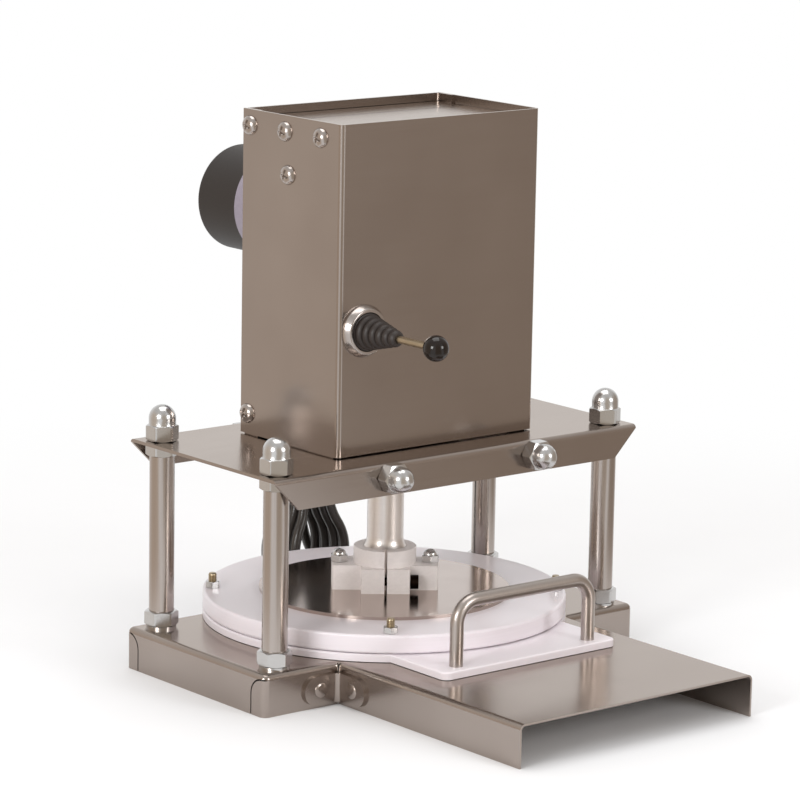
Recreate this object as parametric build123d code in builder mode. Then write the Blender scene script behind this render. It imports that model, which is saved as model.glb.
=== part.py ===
from build123d import *
import os
from math import acos, cos, pi, radians, sin, tan

# Table-top electric dough press. A geared motor in the sheet head turns a pinion, the pinion drives
# a rack cut in the press rod, and the rod pushes a white platen down on a slide-out board.
# Millimetres, +Z up, the table at Z = 0 and the operator at -Y. The origin is the middle of the
# footprint, and everything is laid out from the ram's axis, which stands ram_y behind the origin.

os.makedirs("parts", exist_ok=True)

# Footprint
tray_reach = 228.0
motor_reach = 153.0
ram_y = (tray_reach - motor_reach) / 2

# Base and tray, folded from one sheet
base_sheet = 1.2
base_width = 285.6
base_depth = 136.0
base_height = 25.2
base_bend = 3.5
tray_width = 177.0
inner_corner = 2.0
relief_dia = 1.8
base_corner = 4.0
tab_length = 11.8
tab_slot = 0.9
tab_round = 9.0

# Brackets riveted into the base's inner corners
bracket_sheet = 2.0
bracket_foot_gap = 2.2
bracket_band = 17.0
bracket_leg = 26.0
bracket_bend = 3.0
rivet_setback = 14.3
rivet_head_dia = 9.0
rivet_head_height = 1.1
rivet_dia = 4.0

# Clearances
hole_room = 0.4
running_room = 0.05
seat_room = 0.1

# Columns and their nuts
column_dia = 15.0
column_inset_x = 16.8
column_inset_y = 12.4
stud_dia = 12.0
washer_dia = 18.0
washer_height = 1.5
column_nut_flats = 18.0
column_nut_height = 8.8
column_jam_flats = 17.4
column_jam_height = 7.0
column_cap_flats = 17.2
column_cap_hex = 9.6
column_cap_height = 21.5
column_cap_dome = 16.2

# Press stack, from the base up
board_room = 0.3
board_thickness = 4.5
press_gap = 0.4
platen_thickness = 11.2
platen_dia = 220.0
platen_edge = 1.6
backing_thickness = 2.0
backing_dia = 152.0
stroke = 42.0
ram_turn = -37.0

# Split clamp under the rod
clamp_length = 64.0
clamp_depth = 24.0
clamp_height = 15.0
boss_width = 29.4
boss_reach = 22.0
collar_dia = 38.0
collar_height = 10.2
clamp_slit = 1.6
clamp_edge = 0.6
clamp_round = 1.5
clamp_screw_dia = 5.0
clamp_screw_reach = 17.2
clamp_screw_rise = 6.5
clamp_head_dia = 8.6
clamp_head_height = 5.0
clamp_socket_flats = 4.0
hub_screw_pitch = 55.0
hub_screw_dia = 6.0
hub_screw_head = 11.0
acorn_flats = 10.0
acorn_hex = 4.5
acorn_height = 8.0
acorn_dome = 8.4

# Thickness stops
stop_spread_dia = 208.0
stop_count = 4
stop_dia = 5.0
stop_stand = 9.0
stop_nut_flats = 8.0
stop_nut_height = 4.0

# Press rod with its rack
rod_dia = 22.0
rod_foot_dia = 26.0
rod_flare = 6.0
rod_chamfer = 1.0
tooth_module = 1.5
pinion_teeth = 16
pressure_angle = 20.0
root_share = 1.25
mesh_room = 0.1
backlash = 0.14
rack_line = 8.0
rack_overrun = 16.0
rod_top_room = 6.5

# Top plate, guide and tie rods
ram_room = 2.7
bush_flange = 2.0
bush_flange_dia = 34.0
bush_dia = 26.0
guide_height = 15.5
guide_width = 126.0
guide_depth = 60.0
top_sheet = 2.0
top_overhang_x = 12.25
top_overhang_y = 15.1
top_flange = 19.0
top_bend = 3.0
rod_hole_room = 0.8
tie_rod_dia = 8.0
tie_rod_span = 110.0
tie_rod_drop = 8.0
tie_nut_flats = 16.6
tie_nut_hex = 8.2
tie_nut_height = 18.0
tie_nut_dome = 15.0
tie_back_flats = 13.0
tie_back_height = 6.0
tie_rod_end = 1.5

# Head covers
head_sheet = 1.5
cover_lift = 0.8
head_width = 150.0
head_depth = 93.0
head_height = 195.0
head_bend = 2.8
lid_recess = 5.0
lid_flange = 14.0
lid_bend = 2.4
lid_seam = 19.0
seam_gap = 0.6
lid_front_room = 1.5
rear_flange = 15.0
foot_width = 12.0
foot_length = 46.0
foot_setback = 18.0
foot_screw_span = 30.0
foot_screw_head = 9.6
screw_dia = 4.0
screw_head_dia = 12.0
screw_head_height = 3.6
screw_length = 9.0
screw_drop = 9.5
rear_screw_setback = 6.5
lid_screw_ys = (6.5, -27.0)
bracket_screw_y = 3.2
bracket_screw_drop = 34.5
low_screw_rise = 13.0

# Drive bracket, gearbox and motor
drive_sheet = 2.0
drive_width = 120.0
rod_to_drive = 2.5
ear_height = 26.0
ear_reach = 22.0
drive_foot = 24.0
foot_bolt_span = 80.0
foot_bolt_setback = 9.0
foot_bolt_dia = 5.0
foot_bolt_flats = 8.0
foot_bolt_head = 3.5
foot_bolt_grip = 14.0
gearbox_dia = 62.0
gearbox_length = 28.0
gearbox_edge = 2.0
shaft_boss_dia = 20.0
shaft_boss_reach = 4.0
gear_screw_circle = 54.0
gear_screw_angle = 35.0
motor_dia = 65.4
motor_cap_length = 39.0
motor_edge = 3.0
motor_hole_room = 0.8
motor_bolt_span = 48.0
drive_head_dia = 7.0
drive_head_height = 2.6
shaft_dia = 10.0
shaft_nose = 4.0
pinion_width = 16.0
hub_dia = 18.0
hub_length = 5.0
rod_guide_wall = 6.0
rod_guide_lip = 2.0
rod_guide_height = 46.0

# Power supply
supply_width = 40.0
supply_depth = 50.0
supply_height = 56.0
supply_left = 20.0
supply_front = 42.0
supply_edge = 2.0

# Slide-out board and handle
board_radius = 110.0
tongue_width = 132.0
tongue_reach = 137.0
tongue_corner = 5.0
board_edge = 1.0
handle_dia = 8.0
handle_span = 101.0
handle_setback = 9.0
handle_rise = 37.5
handle_bend = 13.0
handle_screw_dia = 5.0
handle_screw_head = 10.0
handle_screw_grip = 12.0

# Joystick
stick_x = -57.0
stick_rise = 74.2
stick_bore = 22.0
ring_dia = 31.0
ring_flange = 1.6
ring_nose_dia = 29.0
ring_length = 5.0
ring_chamfer = 1.2
barrel_recess = 1.0
lock_ring_length = 4.0
stick_body_width = 30.0
stick_body_height = 36.0
stick_body_length = 12.0
stick_throat = 15.0
pivot_depth = 1.5
stick_tail = 7.0
throat_room = 3.5
pin_dia = 3.0
eye_dia = 8.0
eye_width = 7.0
lever_dia = 4.4
knob_dia = 15.2
knob_stand = 65.7
boot_base_dia = 22.0
boot_tip_dia = 8.8
boot_ribs = 6
boot_length = 27.5
boot_groove = 1.5
boot_fade = 0.6
boot_rib_shape = ((0.1, 1.0), (0.4, 0.0), (0.7, 0.0), (1.0, 1.0))
contact_width = 11.0
contact_height = 26.0
contact_length = 22.0

# Mains lead
cord_dia = 6.4
bend_share = 0.45
gland_x = 59.0
gland_rise = 24.5
gland_thread = 16.0
gland_flats = 20.0
gland_nut = 4.0
gland_head = 6.0
relief_length = 20.0
relief_root_dia = 12.0
relief_tip_dia = 8.0
hank_loops = 4
hank_fold = 20.0
hank_waist = 12.0
hank_sway = 35.0
hank_step = 7.4
tie_width = 8.0
tie_sheet = 1.2
tie_room = 0.4
plug_length = 32.0
plug_width = 34.0
plug_height = 20.4
plug_edge = 5.0
plug_neck = 22.0
plug_neck_dia = 11.0
pin_length = 19.0
plug_pin_dia = 4.8
plug_pin_span = 19.0

# Heights and depths worked out from the sizes above
board_bottom = base_height + board_room
board_top = board_bottom + board_thickness
platen_bottom = board_top + press_gap
platen_top = platen_bottom + platen_thickness
backing_top = platen_top + backing_thickness
clamp_top = backing_top + clamp_height
collar_top = clamp_top + collar_height
flare_top = collar_top + rod_flare
bush_bottom = flare_top + stroke + ram_room
guide_bottom = bush_bottom + bush_flange
guide_top = guide_bottom + guide_height
top_level = guide_top + top_sheet
head_top = top_level + head_height
lid_top = head_top - lid_recess
rod_top = lid_top - head_sheet - rod_top_room - stroke
motor_z = rod_top - rack_overrun
base_under = base_height - base_sheet
column_span_x = base_width - 2 * column_inset_x
column_span_y = base_depth - 2 * column_inset_y
top_width = column_span_x + 2 * top_overhang_x
top_depth = column_span_y + 2 * top_overhang_y
column_foot = base_height + washer_height + column_nut_height
column_head = guide_top - column_jam_height
head_half = head_width / 2 - head_sheet
head_back = head_depth / 2
drive_front = rod_dia / 2 + rod_to_drive
drive_back = drive_front + drive_sheet
gearbox_back = drive_back + gearbox_length
motor_back = motor_reach - drive_head_height
motor_seam = motor_back - motor_cap_length
ear_top = head_top - bracket_screw_drop + ear_height / 2
pitch_radius = tooth_module * pinion_teeth / 2
pinion_x = rack_line + pitch_radius + mesh_room
stick_z = top_level + stick_rise
gland_z = top_level + gland_rise
tie_rod_z = top_level - tie_rod_drop
column_spots = [
    (x * column_span_x / 2, y * column_span_y / 2) for x in (-1, 1) for y in (-1, 1)
]
cover_screw_spots = [
    (head_back - rear_screw_setback, head_top - screw_drop),
    (lid_screw_ys[0], head_top - screw_drop),
    (lid_screw_ys[1], head_top - screw_drop),
    (bracket_screw_y, head_top - bracket_screw_drop),
    (head_back - rear_screw_setback, top_level + low_screw_rise),
]


def level(z, turn=0.0):
    """Horizontal plane at height z on the ram's axis, turned about it by so many degrees."""
    across = (cos(radians(turn)), sin(radians(turn)), 0)
    return Plane(origin=(0, ram_y, z), x_dir=across, z_dir=(0, 0, 1))


def facing(y):
    """Upright plane that looks at the operator, y behind the ram: sketch x is X and sketch y is Z."""
    return Plane(origin=(0, ram_y + y, 0), x_dir=(1, 0, 0), z_dir=(0, -1, 0))


def flank(x):
    """Upright plane that looks along +X: sketch x runs back from the ram and sketch y is Z."""
    return Plane(origin=(x, ram_y, 0), x_dir=(0, 1, 0), z_dir=(1, 0, 0))


def spot(x, y, z, out):
    """Place with its own z along the direction out, on the ram's axis system."""
    across = (0, 0, 1) if out[2] == 0 else (1, 0, 0)
    return Plane(origin=(x, ram_y + y, z), x_dir=across, z_dir=out)


def hex_nut(flats, height, bore):
    """Plain nut that stands on its origin, with two flats square to X."""
    with BuildPart() as nut:
        with BuildSketch():
            RegularPolygon(radius=flats / 2, side_count=6, major_radius=False, rotation=30)
            Circle(bore / 2 + seat_room, mode=Mode.SUBTRACT)
        extrude(amount=height)
    return nut.part


def cap_nut(flats, hex_height, height, dome, bore):
    """Domed nut that stands on its origin, with two flats square to X and a blind hole below."""
    shoulder = height - dome / 2
    with BuildPart() as nut:
        with BuildSketch():
            RegularPolygon(radius=flats / 2, side_count=6, major_radius=False, rotation=30)
        extrude(amount=hex_height)
        with BuildSketch(Plane.XZ):
            with BuildLine():
                Polyline((0, height), (0, hex_height / 2), (dome / 2, hex_height / 2), (dome / 2, shoulder))
                RadiusArc((dome / 2, shoulder), (0, height), -dome / 2)
            make_face()
        revolve(axis=Axis.Z)
        with BuildSketch():
            Circle(bore / 2 + seat_room)
        extrude(amount=hex_height + seat_room, mode=Mode.SUBTRACT)
    return nut.part


def headed_screw(head_dia, head_height, shank_dia, shank_length):
    """Screw with a low domed head above its origin and a plain shank below it."""
    crown = (head_dia**2 / 4 + head_height**2) / (2 * head_height)
    with BuildPart() as screw:
        with BuildSketch(Plane.XZ):
            with BuildLine():
                Polyline(
                    (0, head_height),
                    (0, -shank_length),
                    (shank_dia / 2, -shank_length),
                    (shank_dia / 2, 0),
                    (head_dia / 2, 0),
                )
                RadiusArc((head_dia / 2, 0), (0, head_height), -crown)
            make_face()
        revolve(axis=Axis.Z)
    return screw.part


def flush_screw(head_dia, shank_dia, shank_length):
    """Countersunk screw, its flat head level with its origin and its shank standing up."""
    cone = (head_dia - shank_dia) / 2
    with BuildPart() as screw:
        with BuildSketch(Plane.XZ):
            Polygon(
                (0, 0),
                (head_dia / 2, 0),
                (shank_dia / 2, cone),
                (shank_dia / 2, shank_length),
                (0, shank_length),
                align=None,
            )
        revolve(axis=Axis.Z)
    return screw.part


def channel(plane, width, drop, sheet, bend, length):
    """Sheet folded down along two edges: the outside of its web is at the plane's y = 0."""
    with BuildPart() as folded:
        with BuildSketch(plane) as profile:
            with Locations((0, -drop / 2)):
                Rectangle(width, drop)
            fillet(profile.vertices().group_by(Axis.Y)[-1], radius=bend)
            with Locations((0, -sheet - drop / 2)):
                Rectangle(width - 2 * sheet, drop, mode=Mode.SUBTRACT)
            inner = profile.vertices().filter_by(lambda v: abs(v.Y + sheet) < sheet / 10)
            fillet(inner, radius=bend - sheet)
        extrude(amount=length)
    return folded.part


# Base and tray
rivet_z = bracket_foot_gap + bracket_band / 2
corner_x = tray_width / 2
corner_y = -base_depth / 2
rivet_spots = [
    spot(corner_x + rivet_setback, corner_y - bracket_sheet, rivet_z, (0, -1, 0)),
    spot(corner_x + bracket_sheet, corner_y - rivet_setback, rivet_z, (1, 0, 0)),
]


def base_blank(inset, reach):
    """Solid base with its tray, drawn in all round by inset, the tray's front at reach."""
    with BuildPart() as blank:
        with BuildSketch(level(0)) as plan:
            Rectangle(base_width - 2 * inset, base_depth - 2 * inset)
            with Locations((0, -reach)):
                Rectangle(tray_width - 2 * inset, reach, align=(Align.CENTER, Align.MIN))
            inner = plan.vertices().filter_by(lambda v: abs(v.X) < (base_width + tray_width) / 4)
            fillet(inner.group_by(Axis.Y)[1], radius=inner_corner + inset)
            outer = plan.vertices().filter_by(lambda v: abs(v.X) > (base_width + tray_width) / 4)
            fillet(outer, radius=base_corner - inset)
        extrude(amount=base_height - inset)
        rim = blank.faces().sort_by(Axis.Z)[-1].edges().sort_by(Axis.Y)[1:]
        fillet(rim, radius=base_bend - inset)
    return blank.part


base_outside = base_blank(0, tray_reach)
base_inside = base_blank(base_sheet, tray_reach + base_sheet)

with BuildPart() as rivet_bores:
    with Locations(*rivet_spots):
        Cylinder((rivet_dia + hole_room) / 2, 4 * (bracket_sheet + base_sheet))
    mirror(about=Plane.YZ)

tab_top = base_height - base_bend


def tab_profile(room):
    """Corner tab seen from the base's end, grown by room."""
    with BuildSketch() as profile:
        with Locations((base_depth / 2, 0)):
            Rectangle(tab_length + room, tab_top + room, align=(Align.MAX, Align.MIN))
        fillet(profile.vertices().sort_by_distance((0, tab_top))[0], radius=tab_round + room)
    return profile.sketch


with BuildPart() as tab_slots:
    with BuildSketch(flank(base_width / 2 - 2 * base_sheet)):
        for side in (-1, 1):
            slot = tab_profile(tab_slot) - tab_profile(0)
            add(slot if side > 0 else slot.mirror(Plane.YZ))
    extrude(amount=3 * base_sheet)
    mirror(about=Plane.YZ)

with BuildPart() as base_plate:
    add(base_outside)
    add(base_inside, mode=Mode.SUBTRACT)
    add(tab_slots.part, mode=Mode.SUBTRACT)
    add(rivet_bores.part, mode=Mode.SUBTRACT)
    with BuildSketch(level(0)):
        with Locations(*column_spots):
            Circle((stud_dia + hole_room) / 2)
        with Locations((corner_x, corner_y), (-corner_x, corner_y)):
            Circle(relief_dia / 2)
    extrude(amount=2 * base_height, mode=Mode.SUBTRACT)

with BuildPart() as corner_brackets:
    with BuildSketch(level(bracket_foot_gap)) as bracket_plan:
        with Locations((corner_x, corner_y)):
            Rectangle(bracket_leg, bracket_sheet, align=(Align.MIN, Align.MAX))
            Rectangle(bracket_sheet, bracket_leg, align=(Align.MIN, Align.MAX))
        bend_line = bracket_plan.vertices().sort_by_distance((corner_x, corner_y))
        fillet(bend_line[0], radius=bracket_bend + bracket_sheet)
        hollow = (corner_x + bracket_sheet, corner_y - bracket_sheet)
        fillet(bracket_plan.vertices().sort_by_distance(hollow)[0], radius=bracket_bend)
    extrude(amount=bracket_band)
    round_ends = corner_brackets.faces().sort_by(Axis.X)[-1].edges().filter_by(Axis.Y)
    round_ends += corner_brackets.faces().sort_by(Axis.Y)[0].edges().filter_by(Axis.X)
    fillet(round_ends, radius=bracket_band / 2 - seat_room)
    mirror(about=Plane.YZ)
    add(rivet_bores.part, mode=Mode.SUBTRACT)

rivet = headed_screw(rivet_head_dia, rivet_head_height, rivet_dia, bracket_sheet + base_sheet)

with BuildPart() as bracket_rivets:
    with Locations(*rivet_spots):
        add(rivet)
    mirror(about=Plane.YZ)

# Columns
columns = {}
for side, x in (("left", -1), ("right", 1)):
    for end, y in (("front", -1), ("rear", 1)):
        centre = (x * column_span_x / 2, y * column_span_y / 2)
        with BuildPart() as column:
            with BuildSketch(level(base_under - column_nut_height - base_sheet)):
                with Locations(centre):
                    Circle(stud_dia / 2)
            extrude(amount=column_foot - base_under + column_nut_height + base_sheet)
            with BuildSketch(level(column_foot)):
                with Locations(centre):
                    Circle(column_dia / 2)
            extrude(amount=column_head - column_foot)
            with BuildSketch(level(column_head)):
                with Locations(centre):
                    Circle(stud_dia / 2)
            extrude(amount=column_jam_height + top_sheet + column_cap_hex)
        columns["column_" + end + "_" + side] = column

with BuildPart() as column_washers:
    with BuildSketch(level(base_height)):
        with Locations(*column_spots):
            Circle(washer_dia / 2)
            Circle((stud_dia + hole_room) / 2, mode=Mode.SUBTRACT)
    extrude(amount=washer_height)

column_nut = hex_nut(column_nut_flats, column_nut_height, stud_dia)
turned_nut = column_nut.rotate(Axis.Z, 30)
jam_nut = hex_nut(column_jam_flats, column_jam_height, stud_dia)

with BuildPart() as column_nuts:
    with Locations(*[(x, ram_y + y, base_height + washer_height) for x, y in column_spots]):
        add(column_nut)
    with Locations(*[(x, ram_y + y, base_under - column_nut_height) for x, y in column_spots]):
        add(turned_nut)
    with Locations(*[(x, ram_y + y, column_head) for x, y in column_spots]):
        add(jam_nut)

column_cap = cap_nut(column_cap_flats, column_cap_hex, column_cap_height, column_cap_dome, stud_dia)

with BuildPart() as column_cap_nuts:
    with Locations(*[(x, ram_y + y, top_level) for x, y in column_spots]):
        add(column_cap)

# Top plate, tie rods and rod guide below it
foot_bolt_spots = [(x * foot_bolt_span / 2, drive_back + foot_bolt_setback) for x in (-1, 1)]
cover_foot_spots = [
    (x * (head_half - foot_width / 2), y * foot_screw_span / 2 - foot_setback)
    for x in (-1, 1)
    for y in (-1, 1)
]
top_profile = Plane(origin=(-top_width / 2, ram_y, top_level), x_dir=(0, 1, 0), z_dir=(1, 0, 0))
top_sheet_part = channel(top_profile, top_depth, top_flange, top_sheet, top_bend, top_width)

with BuildPart() as top_plate:
    add(top_sheet_part)
    with BuildSketch(facing(0)):
        for side in (-1, 1):
            end_cut = [
                (side * top_width / 2, guide_top),
                (side * top_width / 2, top_level - top_flange),
                (side * (top_width / 2 - top_flange + top_sheet), top_level - top_flange),
            ]
            with BuildLine():
                Polyline(*end_cut, close=True)
            make_face()
    extrude(amount=top_depth, both=True, mode=Mode.SUBTRACT)
    with BuildSketch(level(guide_top)):
        with Locations(*column_spots):
            Circle((stud_dia + hole_room) / 2)
        with Locations(*foot_bolt_spots):
            Circle((foot_bolt_dia + hole_room) / 2)
        with Locations(*cover_foot_spots):
            Circle((screw_dia + hole_room) / 2)
        Circle(rod_dia / 2 + rod_hole_room)
    extrude(amount=top_sheet, mode=Mode.SUBTRACT)
    with BuildSketch(facing(0)):
        with Locations((-tie_rod_span / 2, tie_rod_z), (tie_rod_span / 2, tie_rod_z)):
            Circle((tie_rod_dia + hole_room) / 2)
    extrude(amount=top_depth, both=True, mode=Mode.SUBTRACT)

with BuildPart() as guide_block:
    with BuildSketch(level(guide_bottom)):
        Rectangle(guide_width, guide_depth)
        Circle(bush_dia / 2 + seat_room, mode=Mode.SUBTRACT)
    extrude(amount=guide_height)
    with BuildSketch(facing(0)):
        with Locations((-tie_rod_span / 2, tie_rod_z), (tie_rod_span / 2, tie_rod_z)):
            Circle(tie_rod_dia / 2 + seat_room)
    extrude(amount=guide_depth, both=True, mode=Mode.SUBTRACT)
    with BuildSketch(level(guide_top)):
        with Locations(*foot_bolt_spots):
            Circle(foot_bolt_dia / 2 + seat_room)
    extrude(amount=-foot_bolt_grip, mode=Mode.SUBTRACT)

with BuildPart() as guide_bush:
    with BuildSketch(level(bush_bottom)):
        Circle(bush_flange_dia / 2)
    extrude(amount=bush_flange)
    with BuildSketch(level(guide_bottom)):
        Circle(bush_dia / 2)
    extrude(amount=guide_height)
    with BuildSketch(level(bush_bottom)):
        Circle(rod_dia / 2 + running_room)
    extrude(amount=bush_flange + guide_height, mode=Mode.SUBTRACT)

with BuildPart() as tie_rods:
    with BuildSketch(facing(top_depth / 2 + tie_back_height + tie_rod_end)):
        with Locations((-tie_rod_span / 2, tie_rod_z), (tie_rod_span / 2, tie_rod_z)):
            Circle(tie_rod_dia / 2)
    extrude(amount=tie_nut_hex + top_depth + tie_back_height + tie_rod_end)

tie_nut = cap_nut(tie_nut_flats, tie_nut_hex, tie_nut_height, tie_nut_dome, tie_rod_dia)
tie_back_nut = hex_nut(tie_back_flats, tie_back_height, tie_rod_dia)

with BuildPart() as tie_rod_cap_nuts:
    with Locations(*[spot(x * tie_rod_span / 2, -top_depth / 2, tie_rod_z, (0, -1, 0)) for x in (-1, 1)]):
        add(tie_nut)

with BuildPart() as tie_rod_back_nuts:
    with Locations(*[spot(x * tie_rod_span / 2, top_depth / 2, tie_rod_z, (0, 1, 0)) for x in (-1, 1)]):
        add(tie_back_nut)

# Head covers
with BuildPart() as cover_screw_bores:
    with BuildSketch(flank(0)):
        with Locations(*cover_screw_spots):
            Circle((screw_dia + hole_room) / 2)
    extrude(amount=head_width, both=True)

cover_plan = Plane(origin=(0, ram_y - head_back, top_level + cover_lift), x_dir=(-1, 0, 0), z_dir=(0, 0, 1))
cover_sheet = channel(cover_plan, head_width, head_depth, head_sheet, head_bend, head_height - cover_lift)

with BuildPart() as head_cover:
    add(cover_sheet)
    with BuildSketch(level(top_level)):
        with GridLocations(2 * head_half - foot_width, 0, 2, 1):
            with Locations((0, -foot_setback)):
                Rectangle(foot_width, foot_length)
        with Locations(*cover_foot_spots):
            Circle((screw_dia + hole_room) / 2, mode=Mode.SUBTRACT)
    extrude(amount=head_sheet)
    with BuildSketch(facing(-head_back)):
        with Locations((stick_x, stick_z)):
            Circle((stick_bore + hole_room) / 2)
    extrude(amount=-2 * head_sheet, mode=Mode.SUBTRACT)
    add(cover_screw_bores.part, mode=Mode.SUBTRACT)

panel_plan = Plane(origin=(0, ram_y + head_back, top_level), x_dir=(1, 0, 0), z_dir=(0, 0, 1))
panel_sheet = channel(panel_plan, 2 * head_half, rear_flange, head_sheet, head_bend, head_height)

with BuildPart() as rear_panel:
    add(panel_sheet)
    with BuildSketch(facing(head_back)):
        with Locations((0, motor_z)):
            Circle(motor_dia / 2 + motor_hole_room)
        with Locations((gland_x, gland_z)):
            Circle((gland_thread + hole_room) / 2)
    extrude(amount=2 * head_sheet, mode=Mode.SUBTRACT)
    add(cover_screw_bores.part, mode=Mode.SUBTRACT)

lid_back = lid_seam - seam_gap / 2
lid_front = lid_front_room + head_sheet - head_back
lid_profile = Plane(origin=(0, ram_y + lid_back, lid_top), x_dir=(1, 0, 0), z_dir=(0, -1, 0))
lid_sheet = channel(lid_profile, 2 * head_half, lid_flange, head_sheet, lid_bend, lid_back - lid_front)

with BuildPart() as head_lid:
    add(lid_sheet)
    add(cover_screw_bores.part, mode=Mode.SUBTRACT)

strip_back = head_back - head_sheet - lid_front_room
strip_length = strip_back - lid_seam - seam_gap / 2
strip_profile = Plane(origin=(0, ram_y + strip_back, lid_top), x_dir=(1, 0, 0), z_dir=(0, -1, 0))
strip_width = 2 * (head_half - head_sheet)
strip_sheet = channel(strip_profile, strip_width, lid_flange, head_sheet, lid_bend, strip_length)

with BuildPart() as lid_strip:
    add(strip_sheet)
    add(cover_screw_bores.part, mode=Mode.SUBTRACT)

cover_screw = headed_screw(screw_head_dia, screw_head_height, screw_dia, screw_length)
foot_screw = headed_screw(foot_screw_head, screw_head_height, screw_dia, screw_length)

with BuildPart() as cover_screws:
    for side in (-1, 1):
        with Locations(*[spot(side * head_width / 2, y, z, (side, 0, 0)) for y, z in cover_screw_spots]):
            add(cover_screw)
    with Locations(*[(x, ram_y + y, top_level + head_sheet) for x, y in cover_foot_spots]):
        add(foot_screw)

# Drive bracket, gearbox and motor
gear_screw_spots = [
    (x * gear_screw_circle / 2 * cos(radians(gear_screw_angle)),
     motor_z + z * gear_screw_circle / 2 * sin(radians(gear_screw_angle)))
    for x in (-1, 1)
    for z in (-1, 1)
]

with BuildPart() as drive_bracket:
    with BuildSketch(facing(drive_back)):
        with Locations((0, top_level)):
            Rectangle(drive_width, ear_top - top_level, align=(Align.CENTER, Align.MIN))
        with Locations((0, ear_top)):
            Rectangle(2 * head_half, ear_height, align=(Align.CENTER, Align.MAX))
        with Locations((pinion_x, motor_z)):
            Circle((shaft_boss_dia + hole_room) / 2, mode=Mode.SUBTRACT)
        with Locations(*gear_screw_spots):
            Circle((screw_dia + hole_room) / 2, mode=Mode.SUBTRACT)
    extrude(amount=drive_sheet)
    with BuildSketch(level(ear_top - ear_height)):
        with Locations((head_half, drive_back)):
            Rectangle(drive_sheet, ear_reach, align=(Align.MAX, Align.MAX))
        with Locations((-head_half, drive_back)):
            Rectangle(drive_sheet, ear_reach, align=(Align.MIN, Align.MAX))
    extrude(amount=ear_height)
    with BuildSketch(level(top_level)):
        with Locations((0, drive_front)):
            Rectangle(drive_width, drive_foot, align=(Align.CENTER, Align.MIN))
        with Locations(*foot_bolt_spots):
            Circle((foot_bolt_dia + hole_room) / 2, mode=Mode.SUBTRACT)
    extrude(amount=drive_sheet)
    add(cover_screw_bores.part, mode=Mode.SUBTRACT)

with BuildPart() as foot_bolts:
    with BuildSketch(level(top_level + drive_sheet)):
        with Locations(*foot_bolt_spots):
            RegularPolygon(radius=foot_bolt_flats / 2, side_count=6, major_radius=False)
    extrude(amount=foot_bolt_head)
    with BuildSketch(level(top_level + drive_sheet)):
        with Locations(*foot_bolt_spots):
            Circle(foot_bolt_dia / 2)
    extrude(amount=-foot_bolt_grip)

with BuildPart() as gearbox_housing:
    with BuildSketch(facing(drive_back)):
        with Locations((0, motor_z)):
            Circle(gearbox_dia / 2)
    extrude(amount=-gearbox_length)
    fillet(gearbox_housing.edges().sort_by(Axis.Y)[0], radius=gearbox_edge)
    with BuildSketch(facing(drive_back)):
        with Locations((pinion_x, motor_z)):
            Circle(shaft_boss_dia / 2)
    extrude(amount=shaft_boss_reach)
    with BuildSketch(facing(drive_back - shaft_boss_reach)):
        with Locations((pinion_x, motor_z)):
            Circle(shaft_dia / 2 + running_room)
    extrude(amount=-shaft_boss_reach - gearbox_length / 2, mode=Mode.SUBTRACT)
    with BuildSketch(facing(drive_back)):
        with Locations(*gear_screw_spots):
            Circle(screw_dia / 2 + seat_room)
    extrude(amount=-screw_length, mode=Mode.SUBTRACT)

with BuildPart() as motor_can:
    with BuildSketch(facing(gearbox_back)):
        with Locations((0, motor_z)):
            Circle(motor_dia / 2)
    extrude(amount=gearbox_back - motor_seam)

with BuildPart() as motor_cap:
    with BuildSketch(facing(motor_seam)):
        with Locations((0, motor_z)):
            Circle(motor_dia / 2)
    extrude(amount=-motor_cap_length)
    fillet(motor_cap.edges().sort_by(Axis.Y)[-1], radius=motor_edge)
    with BuildSketch(facing(motor_back)):
        with Locations((0, motor_z - motor_bolt_span / 2), (0, motor_z + motor_bolt_span / 2)):
            Circle(screw_dia / 2 + seat_room)
    extrude(amount=screw_length, mode=Mode.SUBTRACT)

drive_screw = headed_screw(drive_head_dia, drive_head_height, screw_dia, screw_length)

with BuildPart() as drive_screws:
    with Locations(*[spot(x, drive_front, z, (0, -1, 0)) for x, z in gear_screw_spots]):
        add(drive_screw)
    with Locations(*[spot(0, motor_back, motor_z + z * motor_bolt_span / 2, (0, 1, 0)) for z in (-1, 1)]):
        add(drive_screw)

with BuildPart() as rod_guide:
    with BuildSketch(level(motor_z - rod_guide_height / 2)):
        with Locations((-rod_guide_lip, drive_front)):
            Rectangle(
                rod_dia / 2 + rod_guide_wall - rod_guide_lip,
                drive_front + rod_dia / 2 + rod_guide_lip,
                align=(Align.MAX, Align.MAX),
            )
        Circle(rod_dia / 2 + running_room, mode=Mode.SUBTRACT)
    extrude(amount=rod_guide_height)

with BuildPart() as power_supply:
    with BuildSketch(level(top_level)):
        with Locations((supply_left, -supply_front)):
            Rectangle(supply_width, supply_depth, align=(Align.MIN, Align.MIN))
    extrude(amount=supply_height)
    fillet(power_supply.edges().filter_by(Axis.Z), radius=supply_edge)

# Press rod, rack and pinion
rack_pitch = pi * tooth_module
rack_tip = rack_line + tooth_module
rack_root = rack_line - root_share * tooth_module
rack_bottom = rod_top - stroke - 2 * rack_overrun
flank_slope = tan(radians(pressure_angle))
gap_half = (rack_pitch + backlash) / 4
gap_at_tip = gap_half + tooth_module * flank_slope
gap_at_root = gap_half - root_share * tooth_module * flank_slope
gaps_below = int((motor_z - rack_bottom) / rack_pitch)
gaps_above = int((rod_top - motor_z) / rack_pitch)
rack_outline = [(rod_dia, rack_bottom), (rack_tip, rack_bottom)]
for number in range(-gaps_below, gaps_above):
    middle = motor_z + (number + 0.5) * rack_pitch
    rack_outline.append((rack_tip, middle - gap_at_tip))
    rack_outline.append((rack_root, middle - gap_at_root))
    rack_outline.append((rack_root, middle + gap_at_root))
    rack_outline.append((rack_tip, middle + gap_at_tip))
rack_outline.append((rack_tip, rod_top + rack_pitch))
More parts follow.
